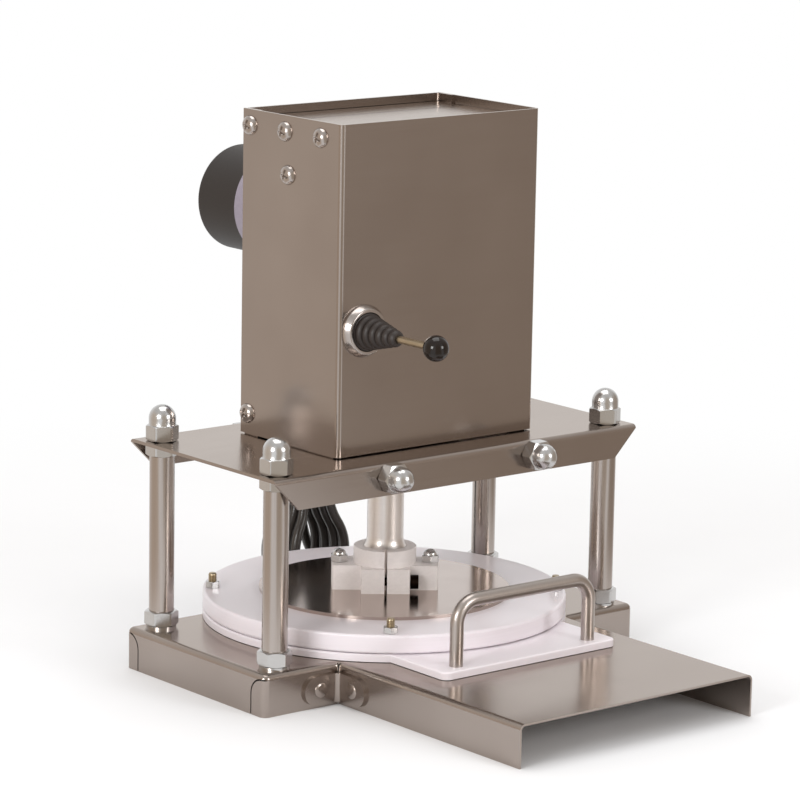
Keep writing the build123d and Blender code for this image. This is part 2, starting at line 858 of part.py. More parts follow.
rack_outline.append((rod_dia, rod_top + rack_pitch))
rod_radius = rod_dia / 2
rod_foot_radius = rod_foot_dia / 2 - seat_room
foot_step = rod_foot_radius - rod_radius
flare_radius = (rod_flare**2 + foot_step**2) / (2 * foot_step)

with BuildPart() as press_rod:
    with BuildSketch(facing(0)):
        with BuildLine():
            Polyline((0, backing_top), (rod_foot_radius, backing_top), (rod_foot_radius, collar_top))
            RadiusArc((rod_foot_radius, collar_top), (rod_radius, flare_top), flare_radius)
            Polyline(
                (rod_radius, flare_top),
                (rod_radius, rod_top - rod_chamfer),
                (rod_radius - rod_chamfer, rod_top),
                (0, rod_top),
                (0, backing_top),
            )
        make_face()
    revolve(axis=Axis((0, ram_y, 0), (0, 0, 1)))
    with BuildSketch(facing(0)):
        with BuildLine():
            Polyline(*rack_outline, close=True)
        make_face()
    extrude(amount=rod_dia, both=True, mode=Mode.SUBTRACT)

base_circle = pitch_radius * cos(radians(pressure_angle))


def involute(radius):
    """Involute function of the pressure angle at a radius of the pinion."""
    angle = acos(base_circle / radius)
    return tan(angle) - angle


def tooth_half_angle(radius):
    """Half the angle that a pinion tooth spans at a radius, in radians."""
    at_pitch = (rack_pitch - backlash) / (4 * pitch_radius)
    return at_pitch + involute(pitch_radius) - involute(radius)


tip_radius = pitch_radius + tooth_module
root_radius = pitch_radius - root_share * tooth_module
flank_steps = 4
flank_step = (tip_radius - base_circle) / flank_steps
flank_radii = [base_circle + step * flank_step for step in range(flank_steps + 1)]
pinion_outline = []
for tooth in range(pinion_teeth):
    middle = pi + (tooth + 0.5) * 2 * pi / pinion_teeth
    foot_angle = tooth_half_angle(base_circle)
    flank_points = [(root_radius, -foot_angle)]
    flank_points += [(radius, -tooth_half_angle(radius)) for radius in flank_radii]
    flank_points += [(radius, -angle) for radius, angle in reversed(flank_points)]
    for radius, angle in flank_points:
        pinion_outline.append(
            (pinion_x + radius * cos(middle + angle), motor_z + radius * sin(middle + angle))
        )

with BuildPart() as drive_pinion:
    with BuildSketch(facing(pinion_width / 2)):
        with BuildLine():
            Polyline(*pinion_outline, close=True)
        make_face()
    extrude(amount=pinion_width)
    with BuildSketch(facing(-pinion_width / 2)):
        with Locations((pinion_x, motor_z)):
            Circle(hub_dia / 2)
    extrude(amount=hub_length)
    with BuildSketch(facing(pinion_width / 2)):
        with Locations((pinion_x, motor_z)):
            Circle(shaft_dia / 2 + seat_room)
    extrude(amount=pinion_width + hub_length, mode=Mode.SUBTRACT)

with BuildPart() as output_shaft:
    with BuildSketch(facing(-pinion_width / 2 - hub_length - shaft_nose)):
        with Locations((pinion_x, motor_z)):
            Circle(shaft_dia / 2)
    shaft_length = drive_back + gearbox_length / 2 + pinion_width / 2 + hub_length + shaft_nose
    extrude(amount=seat_room - shaft_length)

# Ram: clamp, backing disc, platen and thickness stops
across = Vector(cos(radians(ram_turn)), sin(radians(ram_turn)), 0)
ahead = Vector(sin(radians(ram_turn)), -cos(radians(ram_turn)), 0)
clamp_screw_centre = Vector(0, ram_y, backing_top + clamp_screw_rise) + ahead * clamp_screw_reach
clamp_screw_plane = Plane(origin=clamp_screw_centre, x_dir=(0, 0, 1), z_dir=across)
hub_spots = [(-hub_screw_pitch / 2, 0), (hub_screw_pitch / 2, 0)]

with BuildPart() as rod_clamp:
    with BuildSketch(level(backing_top, ram_turn)):
        Rectangle(clamp_length, clamp_depth)
        Circle(collar_dia / 2)
        with Locations((0, -boss_reach)):
            Rectangle(boss_width, boss_reach, align=(Align.CENTER, Align.MIN))
        with Locations(*hub_spots):
            Circle(hub_screw_dia / 2 + seat_room, mode=Mode.SUBTRACT)
    extrude(amount=clamp_height)
    upright_edges = rod_clamp.edges().filter_by(Axis.Z).filter_by(GeomType.LINE)
    outer_corners = upright_edges.sort_by_distance((0, ram_y, backing_top + clamp_height / 2))[-6:]
    fillet(outer_corners, radius=clamp_round)
    with BuildSketch(level(clamp_top, ram_turn)):
        Circle(collar_dia / 2)
    extrude(amount=collar_height)
    fillet(rod_clamp.faces().sort_by(Axis.Z)[-1].edges(), radius=clamp_edge)
    with BuildSketch(level(backing_top, ram_turn)):
        Circle(rod_foot_dia / 2)
        with Locations((0, -boss_reach - clamp_edge)):
            Rectangle(clamp_slit, boss_reach, align=(Align.CENTER, Align.MIN))
    extrude(amount=clamp_height + collar_height, mode=Mode.SUBTRACT)
    with BuildSketch(clamp_screw_plane):
        Circle(clamp_screw_dia / 2 + seat_room)
    extrude(amount=clamp_length, both=True, mode=Mode.SUBTRACT)

with BuildPart() as clamp_screw:
    with BuildSketch(clamp_screw_plane.offset(boss_width / 2)):
        Circle(clamp_head_dia / 2)
    extrude(amount=clamp_head_height)
    with BuildSketch(clamp_screw_plane.offset(boss_width / 2 + clamp_head_height)):
        RegularPolygon(radius=clamp_socket_flats / 2, side_count=6, major_radius=False)
    extrude(amount=-clamp_head_height / 2, mode=Mode.SUBTRACT)
    with BuildSketch(clamp_screw_plane.offset(boss_width / 2)):
        Circle(clamp_screw_dia / 2)
    extrude(amount=-boss_width)

hub_screw_length = clamp_top - platen_bottom + acorn_hex
hub_screw = flush_screw(hub_screw_head, hub_screw_dia, hub_screw_length)
hub_screw_bore = flush_screw(
    hub_screw_head + 2 * seat_room, hub_screw_dia + 2 * seat_room, hub_screw_length
)
hub_screw_places = [level(platen_bottom, ram_turn).location * Location((x, y, 0)) for x, y in hub_spots]

with BuildPart() as hub_screws:
    with Locations(*hub_screw_places):
        add(hub_screw)

acorn = cap_nut(acorn_flats, acorn_hex, acorn_height, acorn_dome, hub_screw_dia)

with BuildPart() as hub_cap_nuts:
    with Locations(*[level(clamp_top, ram_turn).location * Location((x, y, 0)) for x, y in hub_spots]):
        add(acorn)

with BuildPart() as backing_plate:
    with BuildSketch(level(platen_top, ram_turn)):
        Circle(backing_dia / 2)
        with Locations(*hub_spots):
            Circle(hub_screw_dia / 2 + seat_room, mode=Mode.SUBTRACT)
    extrude(amount=backing_thickness)

with BuildPart() as platen:
    with BuildSketch(level(platen_bottom, ram_turn)):
        Circle(platen_dia / 2)
    extrude(amount=platen_thickness)
    fillet(platen.edges(), radius=platen_edge)
    with BuildSketch(level(platen_bottom, ram_turn)):
        with PolarLocations(stop_spread_dia / 2, stop_count):
            Circle(stop_dia / 2 + seat_room)
    extrude(amount=platen_thickness, mode=Mode.SUBTRACT)
    with Locations(*hub_screw_places):
        add(hub_screw_bore, mode=Mode.SUBTRACT)

with BuildPart() as stop_studs:
    with BuildSketch(level(board_top + board_room, ram_turn)):
        with PolarLocations(stop_spread_dia / 2, stop_count):
            Circle(stop_dia / 2)
    extrude(amount=platen_top + stop_stand - board_top - board_room)

with BuildPart() as stop_nuts:
    with BuildSketch(level(platen_top, ram_turn)):
        with PolarLocations(stop_spread_dia / 2, stop_count):
            RegularPolygon(radius=stop_nut_flats / 2, side_count=6, major_radius=False)
            Circle(stop_dia / 2 + seat_room, mode=Mode.SUBTRACT)
    extrude(amount=stop_nut_height)

# Slide-out board and its handle
handle_y = handle_setback - tongue_reach
handle_spots = [(-handle_span / 2, handle_y), (handle_span / 2, handle_y)]
handle_screw = flush_screw(handle_screw_head, handle_screw_dia, handle_screw_grip)
handle_screw_bore = flush_screw(
    handle_screw_head + 2 * seat_room, handle_screw_dia + 2 * seat_room, handle_screw_grip
)
handle_screw_places = [(x, ram_y + y, board_bottom) for x, y in handle_spots]

with BuildPart() as slide_board:
    with BuildSketch(level(board_bottom)) as board_plan:
        Circle(board_radius)
        with Locations((0, -tongue_reach)):
            Rectangle(tongue_width, tongue_reach, align=(Align.CENTER, Align.MIN))
        fillet(board_plan.vertices().group_by(Axis.Y)[0], radius=tongue_corner)
    extrude(amount=board_thickness)
    fillet(slide_board.faces().sort_by(Axis.Z)[-1].edges(), radius=board_edge)
    with Locations(*handle_screw_places):
        add(handle_screw_bore, mode=Mode.SUBTRACT)

with BuildPart() as handle:
    with BuildLine(facing(handle_y)) as handle_path:
        FilletPolyline(
            (-handle_span / 2, board_top),
            (-handle_span / 2, board_top + handle_rise),
            (handle_span / 2, board_top + handle_rise),
            (handle_span / 2, board_top),
            radius=handle_bend,
        )
    with BuildSketch(level(board_top)):
        with Locations(handle_spots[0]):
            Circle(handle_dia / 2)
    sweep()
    with BuildSketch(level(board_top)):
        with Locations(*handle_spots):
            Circle(handle_screw_dia / 2 + seat_room)
    extrude(amount=handle_screw_grip - board_thickness, mode=Mode.SUBTRACT)

with BuildPart() as handle_screws:
    with Locations(*handle_screw_places):
        add(handle_screw)

# Joystick: sketch x is the distance from its axis, sketch y the distance out of the front panel
stick_origin = (stick_x, ram_y - head_back, stick_z)
stick_section = Plane(origin=stick_origin, x_dir=(1, 0, 0), z_dir=(0, 0, -1))
stick_axis = Axis(stick_origin, (0, -1, 0))
stick_face = Plane(origin=stick_origin, x_dir=(1, 0, 0), z_dir=(0, -1, 0))
barrel_front = ring_length - barrel_recess
body_front = -head_sheet - lock_ring_length
body_back = body_front - stick_body_length
pin_centre = (stick_x, ram_y - head_back + pivot_depth, stick_z)
pin_plane = Plane(origin=pin_centre, x_dir=(0, 1, 0), z_dir=(1, 0, 0))

with BuildPart() as joystick_ring:
    with BuildSketch(stick_section):
        Polygon(
            (stick_bore / 2 + seat_room, 0),
            (ring_dia / 2, 0),
            (ring_dia / 2, ring_flange),
            (ring_nose_dia / 2, ring_flange),
            (ring_nose_dia / 2, ring_length - ring_chamfer),
            (ring_nose_dia / 2 - ring_chamfer, ring_length),
            (stick_bore / 2 + seat_room, ring_length),
            align=None,
        )
    revolve(axis=stick_axis)

with BuildPart() as joystick_lock_ring:
    with BuildSketch(stick_face.offset(-head_sheet)):
        Circle(ring_dia / 2)
        Circle(stick_bore / 2 + seat_room, mode=Mode.SUBTRACT)
    extrude(amount=-lock_ring_length)

with BuildPart() as joystick_barrel:
    with BuildSketch(stick_face.offset(barrel_front)):
        Circle(stick_bore / 2)
    extrude(amount=body_front - barrel_front)
    with BuildSketch(stick_face.offset(body_front)):
        Rectangle(stick_body_width, stick_body_height)
    extrude(amount=-stick_body_length)
    with BuildSketch(stick_face.offset(barrel_front)):
        Circle(stick_throat / 2)
    extrude(amount=-barrel_front - pivot_depth - stick_tail - throat_room, mode=Mode.SUBTRACT)
    with BuildSketch(pin_plane):
        Circle(pin_dia / 2 + seat_room)
    extrude(amount=stick_bore, both=True, mode=Mode.SUBTRACT)

with BuildPart() as joystick_pin:
    with BuildSketch(pin_plane):
        Circle(pin_dia / 2)
    extrude(amount=stick_bore / 2 - hole_room, both=True)

with BuildPart() as joystick_contacts:
    with BuildSketch(stick_face.offset(body_back)):
        with GridLocations(0, stick_body_height / 2, 1, 2):
            Rectangle(contact_height, contact_width)
    extrude(amount=-contact_length)

with BuildPart() as joystick_lever:
    with BuildSketch(stick_face.offset(-pivot_depth - stick_tail)):
        Circle(lever_dia / 2)
    extrude(amount=pivot_depth + stick_tail + knob_stand)
    with BuildSketch(pin_plane):
        Circle(eye_dia / 2)
    extrude(amount=eye_width / 2, both=True)
    with BuildSketch(pin_plane):
        Circle(pin_dia / 2 + running_room)
    extrude(amount=eye_width, both=True, mode=Mode.SUBTRACT)

with BuildPart() as joystick_knob:
    with Locations(stick_face.offset(knob_stand)):
        Sphere(knob_dia / 2)
    with BuildSketch(stick_face.offset(knob_stand)):
        Circle(lever_dia / 2 + seat_room)
    extrude(amount=-knob_dia, mode=Mode.SUBTRACT)

boot_outline = [
    (stick_throat / 2, barrel_front),
    (boot_base_dia / 2, barrel_front),
    (boot_base_dia / 2, ring_length),
]
rib_length = boot_length / boot_ribs
for rib in range(boot_ribs):
    for share, depth in boot_rib_shape:
        along = (rib + share) / boot_ribs
        crest = boot_base_dia / 2 + (boot_tip_dia - boot_base_dia) / 2 * along
        groove = depth * boot_groove * (1 - boot_fade * along)
        boot_outline.append((crest - groove, ring_length + (rib + share) * rib_length))
boot_outline.append((lever_dia / 2 + seat_room, ring_length + boot_length))

with BuildPart() as joystick_boot:
    with BuildSketch(stick_section):
        Polygon(*boot_outline, align=None)
    revolve(axis=stick_axis)

# Mains lead: gland, strain relief, free lead, tied hank, free end and plug
gland_origin = (gland_x, ram_y + head_back, gland_z)
gland_face = Plane(origin=gland_origin, x_dir=(1, 0, 0), z_dir=(0, 1, 0))
gland_section = Plane(origin=gland_origin, x_dir=(1, 0, 0), z_dir=(0, 0, 1))

with BuildPart() as cord_gland:
    with BuildSketch(gland_face):
        RegularPolygon(radius=gland_flats / 2, side_count=6, major_radius=False)
    extrude(amount=gland_head)
    with BuildSketch(gland_face):
        Circle(gland_thread / 2)
    extrude(amount=-head_sheet - gland_nut)
    with BuildSketch(gland_face.offset(-head_sheet)):
        RegularPolygon(radius=gland_flats / 2, side_count=6, major_radius=False)
        Circle(gland_thread / 2, mode=Mode.SUBTRACT)
    extrude(amount=-gland_nut)

with BuildPart() as strain_relief:
    with BuildSketch(gland_section):
        Polygon(
            (0, gland_head),
            (relief_root_dia / 2, gland_head),
            (relief_tip_dia / 2, gland_head + relief_length),
            (0, gland_head + relief_length),
            align=None,
        )
    revolve(axis=Axis(gland_origin, (0, 1, 0)))


def report_tube(name, part, length):
    """Print how the tube's volume compares with its section times its length."""
    share = part.volume / (pi * cord_dia**2 / 4 * length)
    print(name, "length", round(length, 1), "volume share", round(share, 4))


def cord_tube(name, points):
    """Round cord on straight runs, each bend as large as its two runs allow."""
    corners = [Vector(*point) for point in points]
    radii = []
    for before, corner, after in zip(corners, corners[1:], corners[2:]):
        turn = (corner - before).get_angle(after - corner)
        run = min((corner - before).length, (after - corner).length)
        radii.append(bend_share * run / tan(radians(turn / 2)))
    with BuildPart() as tube:
        with BuildLine() as route:
            FilletPolyline(*corners, radius=radii)
        with BuildSketch(Plane(origin=corners[0], z_dir=corners[1] - corners[0])):
            Circle(cord_dia / 2)
        sweep()
    print(name, "radii", [round(radius, 1) for radius in radii])
    report_tube(name, tube.part, route.wires()[0].length)
    return tube


lead_start = Vector(gland_x, ram_y + head_back + gland_head + relief_length, gland_z)
lead_steps = [
    (0, 0, 0),
    (0, 16, 0),
    (0.6, 30.8, -6.1),
    (1.8, 42.1, -17.4),
    (3, 48.2, -32.2),
    (3, 48.2, -48.2),
]
cord_lead = cord_tube("cord_lead", [lead_start + Vector(*step) for step in lead_steps])

hank_start = lead_start + Vector(*lead_steps[-1])
hank_x = hank_start.X - hank_fold
hank_top = hank_start.Z - cord_dia
hank_bottom = hank_top - 2 * hank_sway - tie_width


def hank_point(x, layer, z):
    """Point of the hank, x from its middle, so many layers back and at height z."""
    return Vector(hank_x + x, hank_start.Y + layer * hank_step, z)


def sway_points(start, end):
    """Points of two equal arcs that step sideways between two upright runs."""
    aside = Vector(end.X - start.X, end.Y - start.Y, 0)
    rise = end.Z - start.Z
    radius = (aside.length**2 + rise**2) / (4 * aside.length)
    half_turn = acos(1 - aside.length / (2 * radius)) / 2
    along = radius * sin(half_turn) * rise / abs(rise)
    bulge = aside.normalized() * radius * (1 - cos(half_turn)) + Vector(0, 0, along)
    return start + bulge, (start + end) / 2, end - bulge


hank_stops = []
for layer in range(hank_loops):
    hank_stops += [
        ("sway", hank_point(hank_waist, layer, hank_top - hank_sway)),
        ("line", hank_point(hank_waist, layer, hank_bottom + hank_sway)),
        ("sway", hank_point(hank_fold, layer, hank_bottom)),
        ("fold", hank_point(-hank_fold, layer, hank_bottom)),
        ("sway", hank_point(-hank_waist, layer + 0.5, hank_bottom + hank_sway)),
        ("line", hank_point(-hank_waist, layer + 0.5, hank_top - hank_sway)),
        ("sway", hank_point(-hank_fold, layer + 1, hank_top)),
        ("fold", hank_point(hank_fold, layer + 1, hank_top)),
    ]
hank_stops += [
    ("sway", hank_point(hank_waist, hank_loops, hank_top - hank_sway)),
    ("line", hank_point(hank_waist, hank_loops, hank_bottom + hank_sway - cord_dia)),
]
hank_end = hank_stops[-1][1]

with BuildPart() as cord_hank:
    with BuildLine() as hank_route:
        here = hank_point(hank_fold, 0, hank_top)
        Line(hank_start, here)
        for kind, there in hank_stops:
            if kind == "line":
                Line(here, there)
            elif kind == "fold":
                crown = (here + there) / 2 + Vector(0, 0, hank_fold if here.X < there.X else -hank_fold)
                ThreePointArc(here, crown, there)
            else:
                first, middle, last = sway_points(here, there)
                ThreePointArc(here, first, middle)
                ThreePointArc(middle, last, there)
            here = there
    with BuildSketch(Plane(origin=hank_start, z_dir=(0, 0, -1))):
        Circle(cord_dia / 2)
    sweep()

hank_wire = hank_route.wires()[0]
report_tube("cord_hank", cord_hank.part, hank_wire.length)
probe_count = int(hank_wire.length / 2)
probes = [hank_wire @ (number / probe_count) for number in range(probe_count + 1)]
apart = int(4 * cord_dia)
least_gap = min(
    (probes[first] - probes[second]).length
    for first in range(len(probes))
    for second in range(first + apart, len(probes))
)
print("cord_hank least gap", round(least_gap - cord_dia, 2))

tie_depth = hank_loops * hank_step + cord_dia + 2 * tie_room
tie_across = 2 * hank_waist + cord_dia + 2 * tie_room
tie_plane = Plane(
    origin=hank_point(0, hank_loops / 2, hank_bottom + hank_sway),
    x_dir=(1, 0, 0),
    z_dir=(0, 0, 1),
)

with BuildPart() as cord_tie:
    with BuildSketch(tie_plane):
        RectangleRounded(tie_across + 2 * tie_sheet, tie_depth + 2 * tie_sheet, cord_dia / 2 + tie_sheet)
        RectangleRounded(tie_across, tie_depth, cord_dia / 2, mode=Mode.SUBTRACT)
    extrude(amount=tie_width)

tail_steps = [
    (0, 0, 0),
    (0, 0, -16),
    (5.5, 0.5, -31),
    (16.2, 1.5, -42.8),
    (30.8, 2.5, -49),
    (54.8, 3, -49),
    (71.9, -14.1, -49),
    (71.9, -38.3, -49),
    (54.8, -55.4, -49),
    (30.6, -55.4, -49),
]
cord_tail = cord_tube("cord_tail", [hank_end + Vector(*step) for step in tail_steps])

plug_start = hank_end + Vector(*tail_steps[-1])
plug_axis = (Vector(*tail_steps[-1]) - Vector(*tail_steps[-2])).normalized()
plug_plane = Plane(origin=plug_start, x_dir=(0, 0, 1), z_dir=plug_axis)

with BuildPart() as plug_body:
    with BuildSketch(plug_plane):
        Circle(relief_tip_dia / 2)
    with BuildSketch(plug_plane.offset(plug_neck)):
        Circle(plug_neck_dia / 2)
    loft()
    with BuildSketch(plug_plane.offset(plug_neck)):
        RectangleRounded(plug_height, plug_width, plug_edge)
    extrude(amount=plug_length)
    with BuildSketch(plug_plane.offset(plug_neck + plug_length)):
        with GridLocations(0, plug_pin_span, 1, 2):
            Circle(plug_pin_dia / 2 + seat_room)
    extrude(amount=-plug_length / 2, mode=Mode.SUBTRACT)

with BuildPart() as plug_pins:
    with BuildSketch(plug_plane.offset(plug_neck + plug_length / 2)):
        with GridLocations(0, plug_pin_span, 1, 2):
            Circle(plug_pin_dia / 2)
    extrude(amount=plug_length / 2 + pin_length)

# Finished pieces
pieces = {
    "base_plate": base_plate,
    "corner_brackets": corner_brackets,
    "bracket_rivets": bracket_rivets,
    **columns,
    "column_washers": column_washers,
    "column_nuts": column_nuts,
    "column_cap_nuts": column_cap_nuts,
    "top_plate": top_plate,
    "guide_block": guide_block,
    "guide_bush": guide_bush,
    "tie_rods": tie_rods,
    "tie_rod_cap_nuts": tie_rod_cap_nuts,
    "tie_rod_back_nuts": tie_rod_back_nuts,
    "head_cover": head_cover,
    "rear_panel": rear_panel,
    "head_lid": head_lid,
    "lid_strip": lid_strip,
    "cover_screws": cover_screws,
    "drive_bracket": drive_bracket,
    "foot_bolts": foot_bolts,
    "gearbox_housing": gearbox_housing,
    "motor_can": motor_can,
    "motor_cap": motor_cap,
    "drive_screws": drive_screws,
    "rod_guide": rod_guide,
    "power_supply": power_supply,
    "press_rod": press_rod,
    "drive_pinion": drive_pinion,
    "output_shaft": output_shaft,
    "rod_clamp": rod_clamp,
    "clamp_screw": clamp_screw,
    "hub_screws": hub_screws,
    "hub_cap_nuts": hub_cap_nuts,
    "backing_plate": backing_plate,
    "platen": platen,
    "stop_studs": stop_studs,
    "stop_nuts": stop_nuts,
    "slide_board": slide_board,
    "handle": handle,
    "handle_screws": handle_screws,
    "joystick_ring": joystick_ring,
    "joystick_lock_ring": joystick_lock_ring,
    "joystick_barrel": joystick_barrel,
    "joystick_pin": joystick_pin,
    "joystick_contacts": joystick_contacts,
    "joystick_lever": joystick_lever,
    "joystick_knob": joystick_knob,
    "joystick_boot": joystick_boot,
    "cord_gland": cord_gland,
    "strain_relief": strain_relief,
    "cord_lead": cord_lead,
    "cord_hank": cord_hank,
    "cord_tie": cord_tie,
    "cord_tail": cord_tail,
    "plug_body": plug_body,
    "plug_pins": plug_pins,
}
for name, piece in pieces.items():
    piece.part.label = name
    export_step(piece.part, "parts/" + name + ".step")
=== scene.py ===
"""Dresses the dough press's frame: finishes, turned fasteners, bellows boot, mains lead and a pale studio."""

from math import cos, pi, radians, sin, tan

import bmesh
import bpy
from bpy.props import FloatProperty, FloatVectorProperty, IntProperty, PointerProperty
from bpy.types import Operator, Panel, PropertyGroup
from mathutils import Matrix, Vector


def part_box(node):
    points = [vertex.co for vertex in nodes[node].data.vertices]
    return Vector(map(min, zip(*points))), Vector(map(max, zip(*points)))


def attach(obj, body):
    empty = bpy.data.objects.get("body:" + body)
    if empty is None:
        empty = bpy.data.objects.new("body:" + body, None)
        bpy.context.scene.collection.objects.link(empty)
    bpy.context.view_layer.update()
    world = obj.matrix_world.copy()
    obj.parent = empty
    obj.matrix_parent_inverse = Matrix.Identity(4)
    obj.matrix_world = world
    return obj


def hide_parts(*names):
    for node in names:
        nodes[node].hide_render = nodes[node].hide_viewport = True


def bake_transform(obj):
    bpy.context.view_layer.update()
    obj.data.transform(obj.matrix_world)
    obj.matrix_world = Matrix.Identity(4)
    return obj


bl_info = {
    "name": "Dough press dressing",
    "version": (1, 0, 0),
    "blender": (4, 5, 0),
    "location": "View3D > Sidebar > Press",
    "description": "Finishes, fasteners, bellows and mains lead for a table-top dough press",
    "category": "Object",
}

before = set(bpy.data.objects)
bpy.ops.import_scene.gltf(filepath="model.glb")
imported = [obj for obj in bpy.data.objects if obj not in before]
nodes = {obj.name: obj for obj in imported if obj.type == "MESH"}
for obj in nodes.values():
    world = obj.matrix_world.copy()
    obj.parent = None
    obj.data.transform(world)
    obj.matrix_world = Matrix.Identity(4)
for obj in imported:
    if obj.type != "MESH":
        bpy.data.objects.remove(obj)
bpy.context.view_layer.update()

MM = 0.001
TINY = 0.001 * MM
SMOOTH_ANGLE = radians(32)
RIGHT = (1, 0, 0)
FRONT = (0, -1, 0)
BACK = (0, 1, 0)
UP = (0, 0, 1)


def linear(code):
    """Linear red, green and blue of an sRGB hex colour."""
    parts = [int(code[start : start + 2], 16) / 255 for start in (1, 3, 5)]
    return tuple(part / 12.92 if part <= 0.04045 else ((part + 0.055) / 1.055) ** 2.4 for part in parts)


def colour(name, code, note):
    """Colour setting whose default is an sRGB hex value."""
    return FloatVectorProperty(
        name=name, description=note, subtype="COLOR", size=3, min=0, max=1, default=linear(code)
    )


def length(name, metres, note):
    """Length setting in metres."""
    return FloatProperty(name=name, description=note, subtype="DISTANCE", unit="LENGTH", default=metres)


class PressFinishes(PropertyGroup):
    """Colours of the press's materials."""

    sheet: colour("Sheet", "#aba19a", "Brushed stainless sheet of the base, top plate and head")
    sheet_dull: colour("Sheet, dull", "#9d928b", "Duller patches of the brushed sheet")
    sheet_edge: colour("Sheet, along its face", "#fdfaf7", "Tint of reflections seen along the sheet's face")
    bright: colour("Bright steel", "#c9c8c7", "Zinc-plated nuts, washers and screws")
    nickel: colour("Nickel", "#b6aea9", "Nickel-plated cover screws and joystick ring")
    drawn: colour("Drawn steel", "#b8afa9", "Drawn columns and handle, and machined drive parts")
    ground: colour("Ground steel", "#e3ddd9", "Ground press rod")
    milled: colour("Milled aluminium", "#f3edeb", "Milled clamp, guide block and power supply case")
    mirror: colour("Polished disc", "#bbaca4", "Mirror-polished backing disc")
    white: colour("White plastic", "#efe8ed", "Platen and slide-out board")
    brass: colour("Brass", "#b8a88e", "Thickness stops and joystick lever")
    bronze: colour("Bronze", "#9a7a4c", "Guide bush")
    black: colour("Black plastic", "#1f1611", "Motor cap, plug, joystick body and clamp screw")
    ball: colour("Ball knob", "#1a120d", "Glossy ball of the joystick")
    rubber: colour("Black rubber", "#2a211d", "Bellows and strain relief")
    vinyl: colour("Black vinyl", "#3a3531", "Jacket of the mains lead")
    shell: colour("Motor shell", "#958c9a", "Plain enamel of the motor's shell")
    cast: colour("Cast housing", "#8d8b89", "Gearbox housing")
    acetal: colour("Acetal", "#e6e2da", "Rod guide")


class PressSizes(PropertyGroup):
    """Sizes of the details that are made here."""

    grain_width: length("Grain width", 1.1 * MM, "Width of a drawn streak on brushed sheet")
    grain_run: length("Grain length", 55 * MM, "Length of a drawn streak on brushed sheet")
    nut_chamfer: FloatProperty(
        name="Nut chamfer",
        description="Slope of a nut's corner chamfer",
        subtype="ANGLE",
        default=radians(30),
    )
    thread_pitch: length("Stop thread pitch", 0.9 * MM, "Pitch of the thickness stops' thread")
    recess_width: length("Cross recess width", 1.7 * MM, "Width of a cover screw's cross recess")
    recess_depth: length("Cross recess depth", 1.4 * MM, "Depth of a cover screw's cross recess")
    bellows_folds: IntProperty(
        name="Bellows folds", description="Folds of the joystick's boot", default=6, min=2
    )
    cord_diameter: length("Lead diameter", 6.4 * MM, "Diameter of the mains lead")
    cord_length: length("Lead length", 1.464, "Length of the mains lead with its hank")


class PressStudio(PropertyGroup):
    """Camera, floor and light."""

    eye: FloatVectorProperty(
        name="Camera",
        description="Camera's place",
        subtype="TRANSLATION",
        default=(-1.4059, -1.6832, 0.6096),
    )
    ahead: FloatVectorProperty(
        name="Ahead",
        description="Direction the camera looks in",
        subtype="XYZ",
        default=(0.6226, 0.7568, -0.1991),
    )
    above: FloatVectorProperty(
        name="Above",
        description="Direction of the picture's top",
        subtype="XYZ",
        default=(0.1125, 0.1652, 0.9798),
    )
    lens: FloatProperty(
        name="Lens", description="Focal length in millimetres", subtype="DISTANCE_CAMERA", default=170.1
    )
    floor: colour("Floor", "#f2f3f5", "Plain pale floor")
    backdrop: colour("Backdrop", "#ffffff", "Plain ground far from the press, as the camera sees it")
    # These colours light the press from the world; the floor also glows with them in reflections, as painted
    # shade from the darker walls and painted pools of light before the side lamps
    white_wall: colour("White wall", "#ffffff", "Wall behind the press")
    left_wall: colour("Left wall", "#dccdbe", "Wall on the far left")
    near_wall: colour("Near wall", "#c8bcae", "Wall behind the camera")
    right_wall: colour("Right wall", "#b5a89c", "Wall on the near right")
    lamp_glow: colour("Lamp glow", "#ffffff", "Bright ground before the two side lamps")
    ceiling: colour("Ceiling", "#dcdad8", "Ceiling over the press")


def node(tree, kind, inputs=None, **settings):
    """Add a shader node, set its properties, and fill or link its inputs."""
    made = tree.nodes.new(kind)
    for name, value in settings.items():
        setattr(made, name, value)
    for name, value in (inputs or {}).items():
        if isinstance(value, bpy.types.NodeSocket):
            tree.links.new(value, made.inputs[name])
        else:
            made.inputs[name].default_value = value
    return made


def start_material(name, metallic, ior=None):
    """New material: itself, its tree, its shader and the place on the object in millimetres."""
    made = bpy.data.materials.new(name)
    made.use_nodes = True
    tree = made.node_tree
    shader = tree.nodes["Principled BSDF"]
    shader.inputs["Metallic"].default_value = metallic
    if ior:
        shader.inputs["IOR"].default_value = ior
    metres = node(tree, "ShaderNodeTexCoord").outputs["Object"]
    place = node(tree, "ShaderNodeVectorMath", {0: metres, "Scale": 1 / MM}, operation="SCALE").outputs[0]
    return made, tree, shader, place


def stretched(tree, place, scale):
    """Place with each axis times its own number."""
    return node(tree, "ShaderNodeVectorMath", {0: place, 1: scale}, operation="MULTIPLY").outputs[0]


def blotches(tree, place, width, detail):
    """Share from 0 to 1 that varies over a width in millimetres."""
    noise = node(tree, "ShaderNodeTexNoise", {"Vector": place, "Scale": 1 / width, "Detail": detail})
    return noise.outputs[0]


def streaks(tree, place, widths):
    """Share from 0 to 1 that varies over a width in millimetres of its own along each axis."""
    scale = [1 / width for width in widths]
    return blotches(tree, stretched(tree, place, scale), width=1, detail=2)


def two_tone(tree, shader, share, first, second):
    """Colour that goes from first to second with a share from 0 to 1."""
    mix = node(tree, "ShaderNodeMix", {0: share, 6: (*first, 1), 7: (*second, 1)}, data_type="RGBA")
    tree.links.new(mix.outputs[2], shader.inputs["Base Color"])


def rough_between(tree, shader, share, low, high):
    """Roughness that goes from low to high with a share from 0 to 1."""
    spread = node(tree, "ShaderNodeMapRange", {"Value": share, "To Min": low, "To Max": high})
    tree.links.new(spread.outputs[0], shader.inputs["Roughness"])


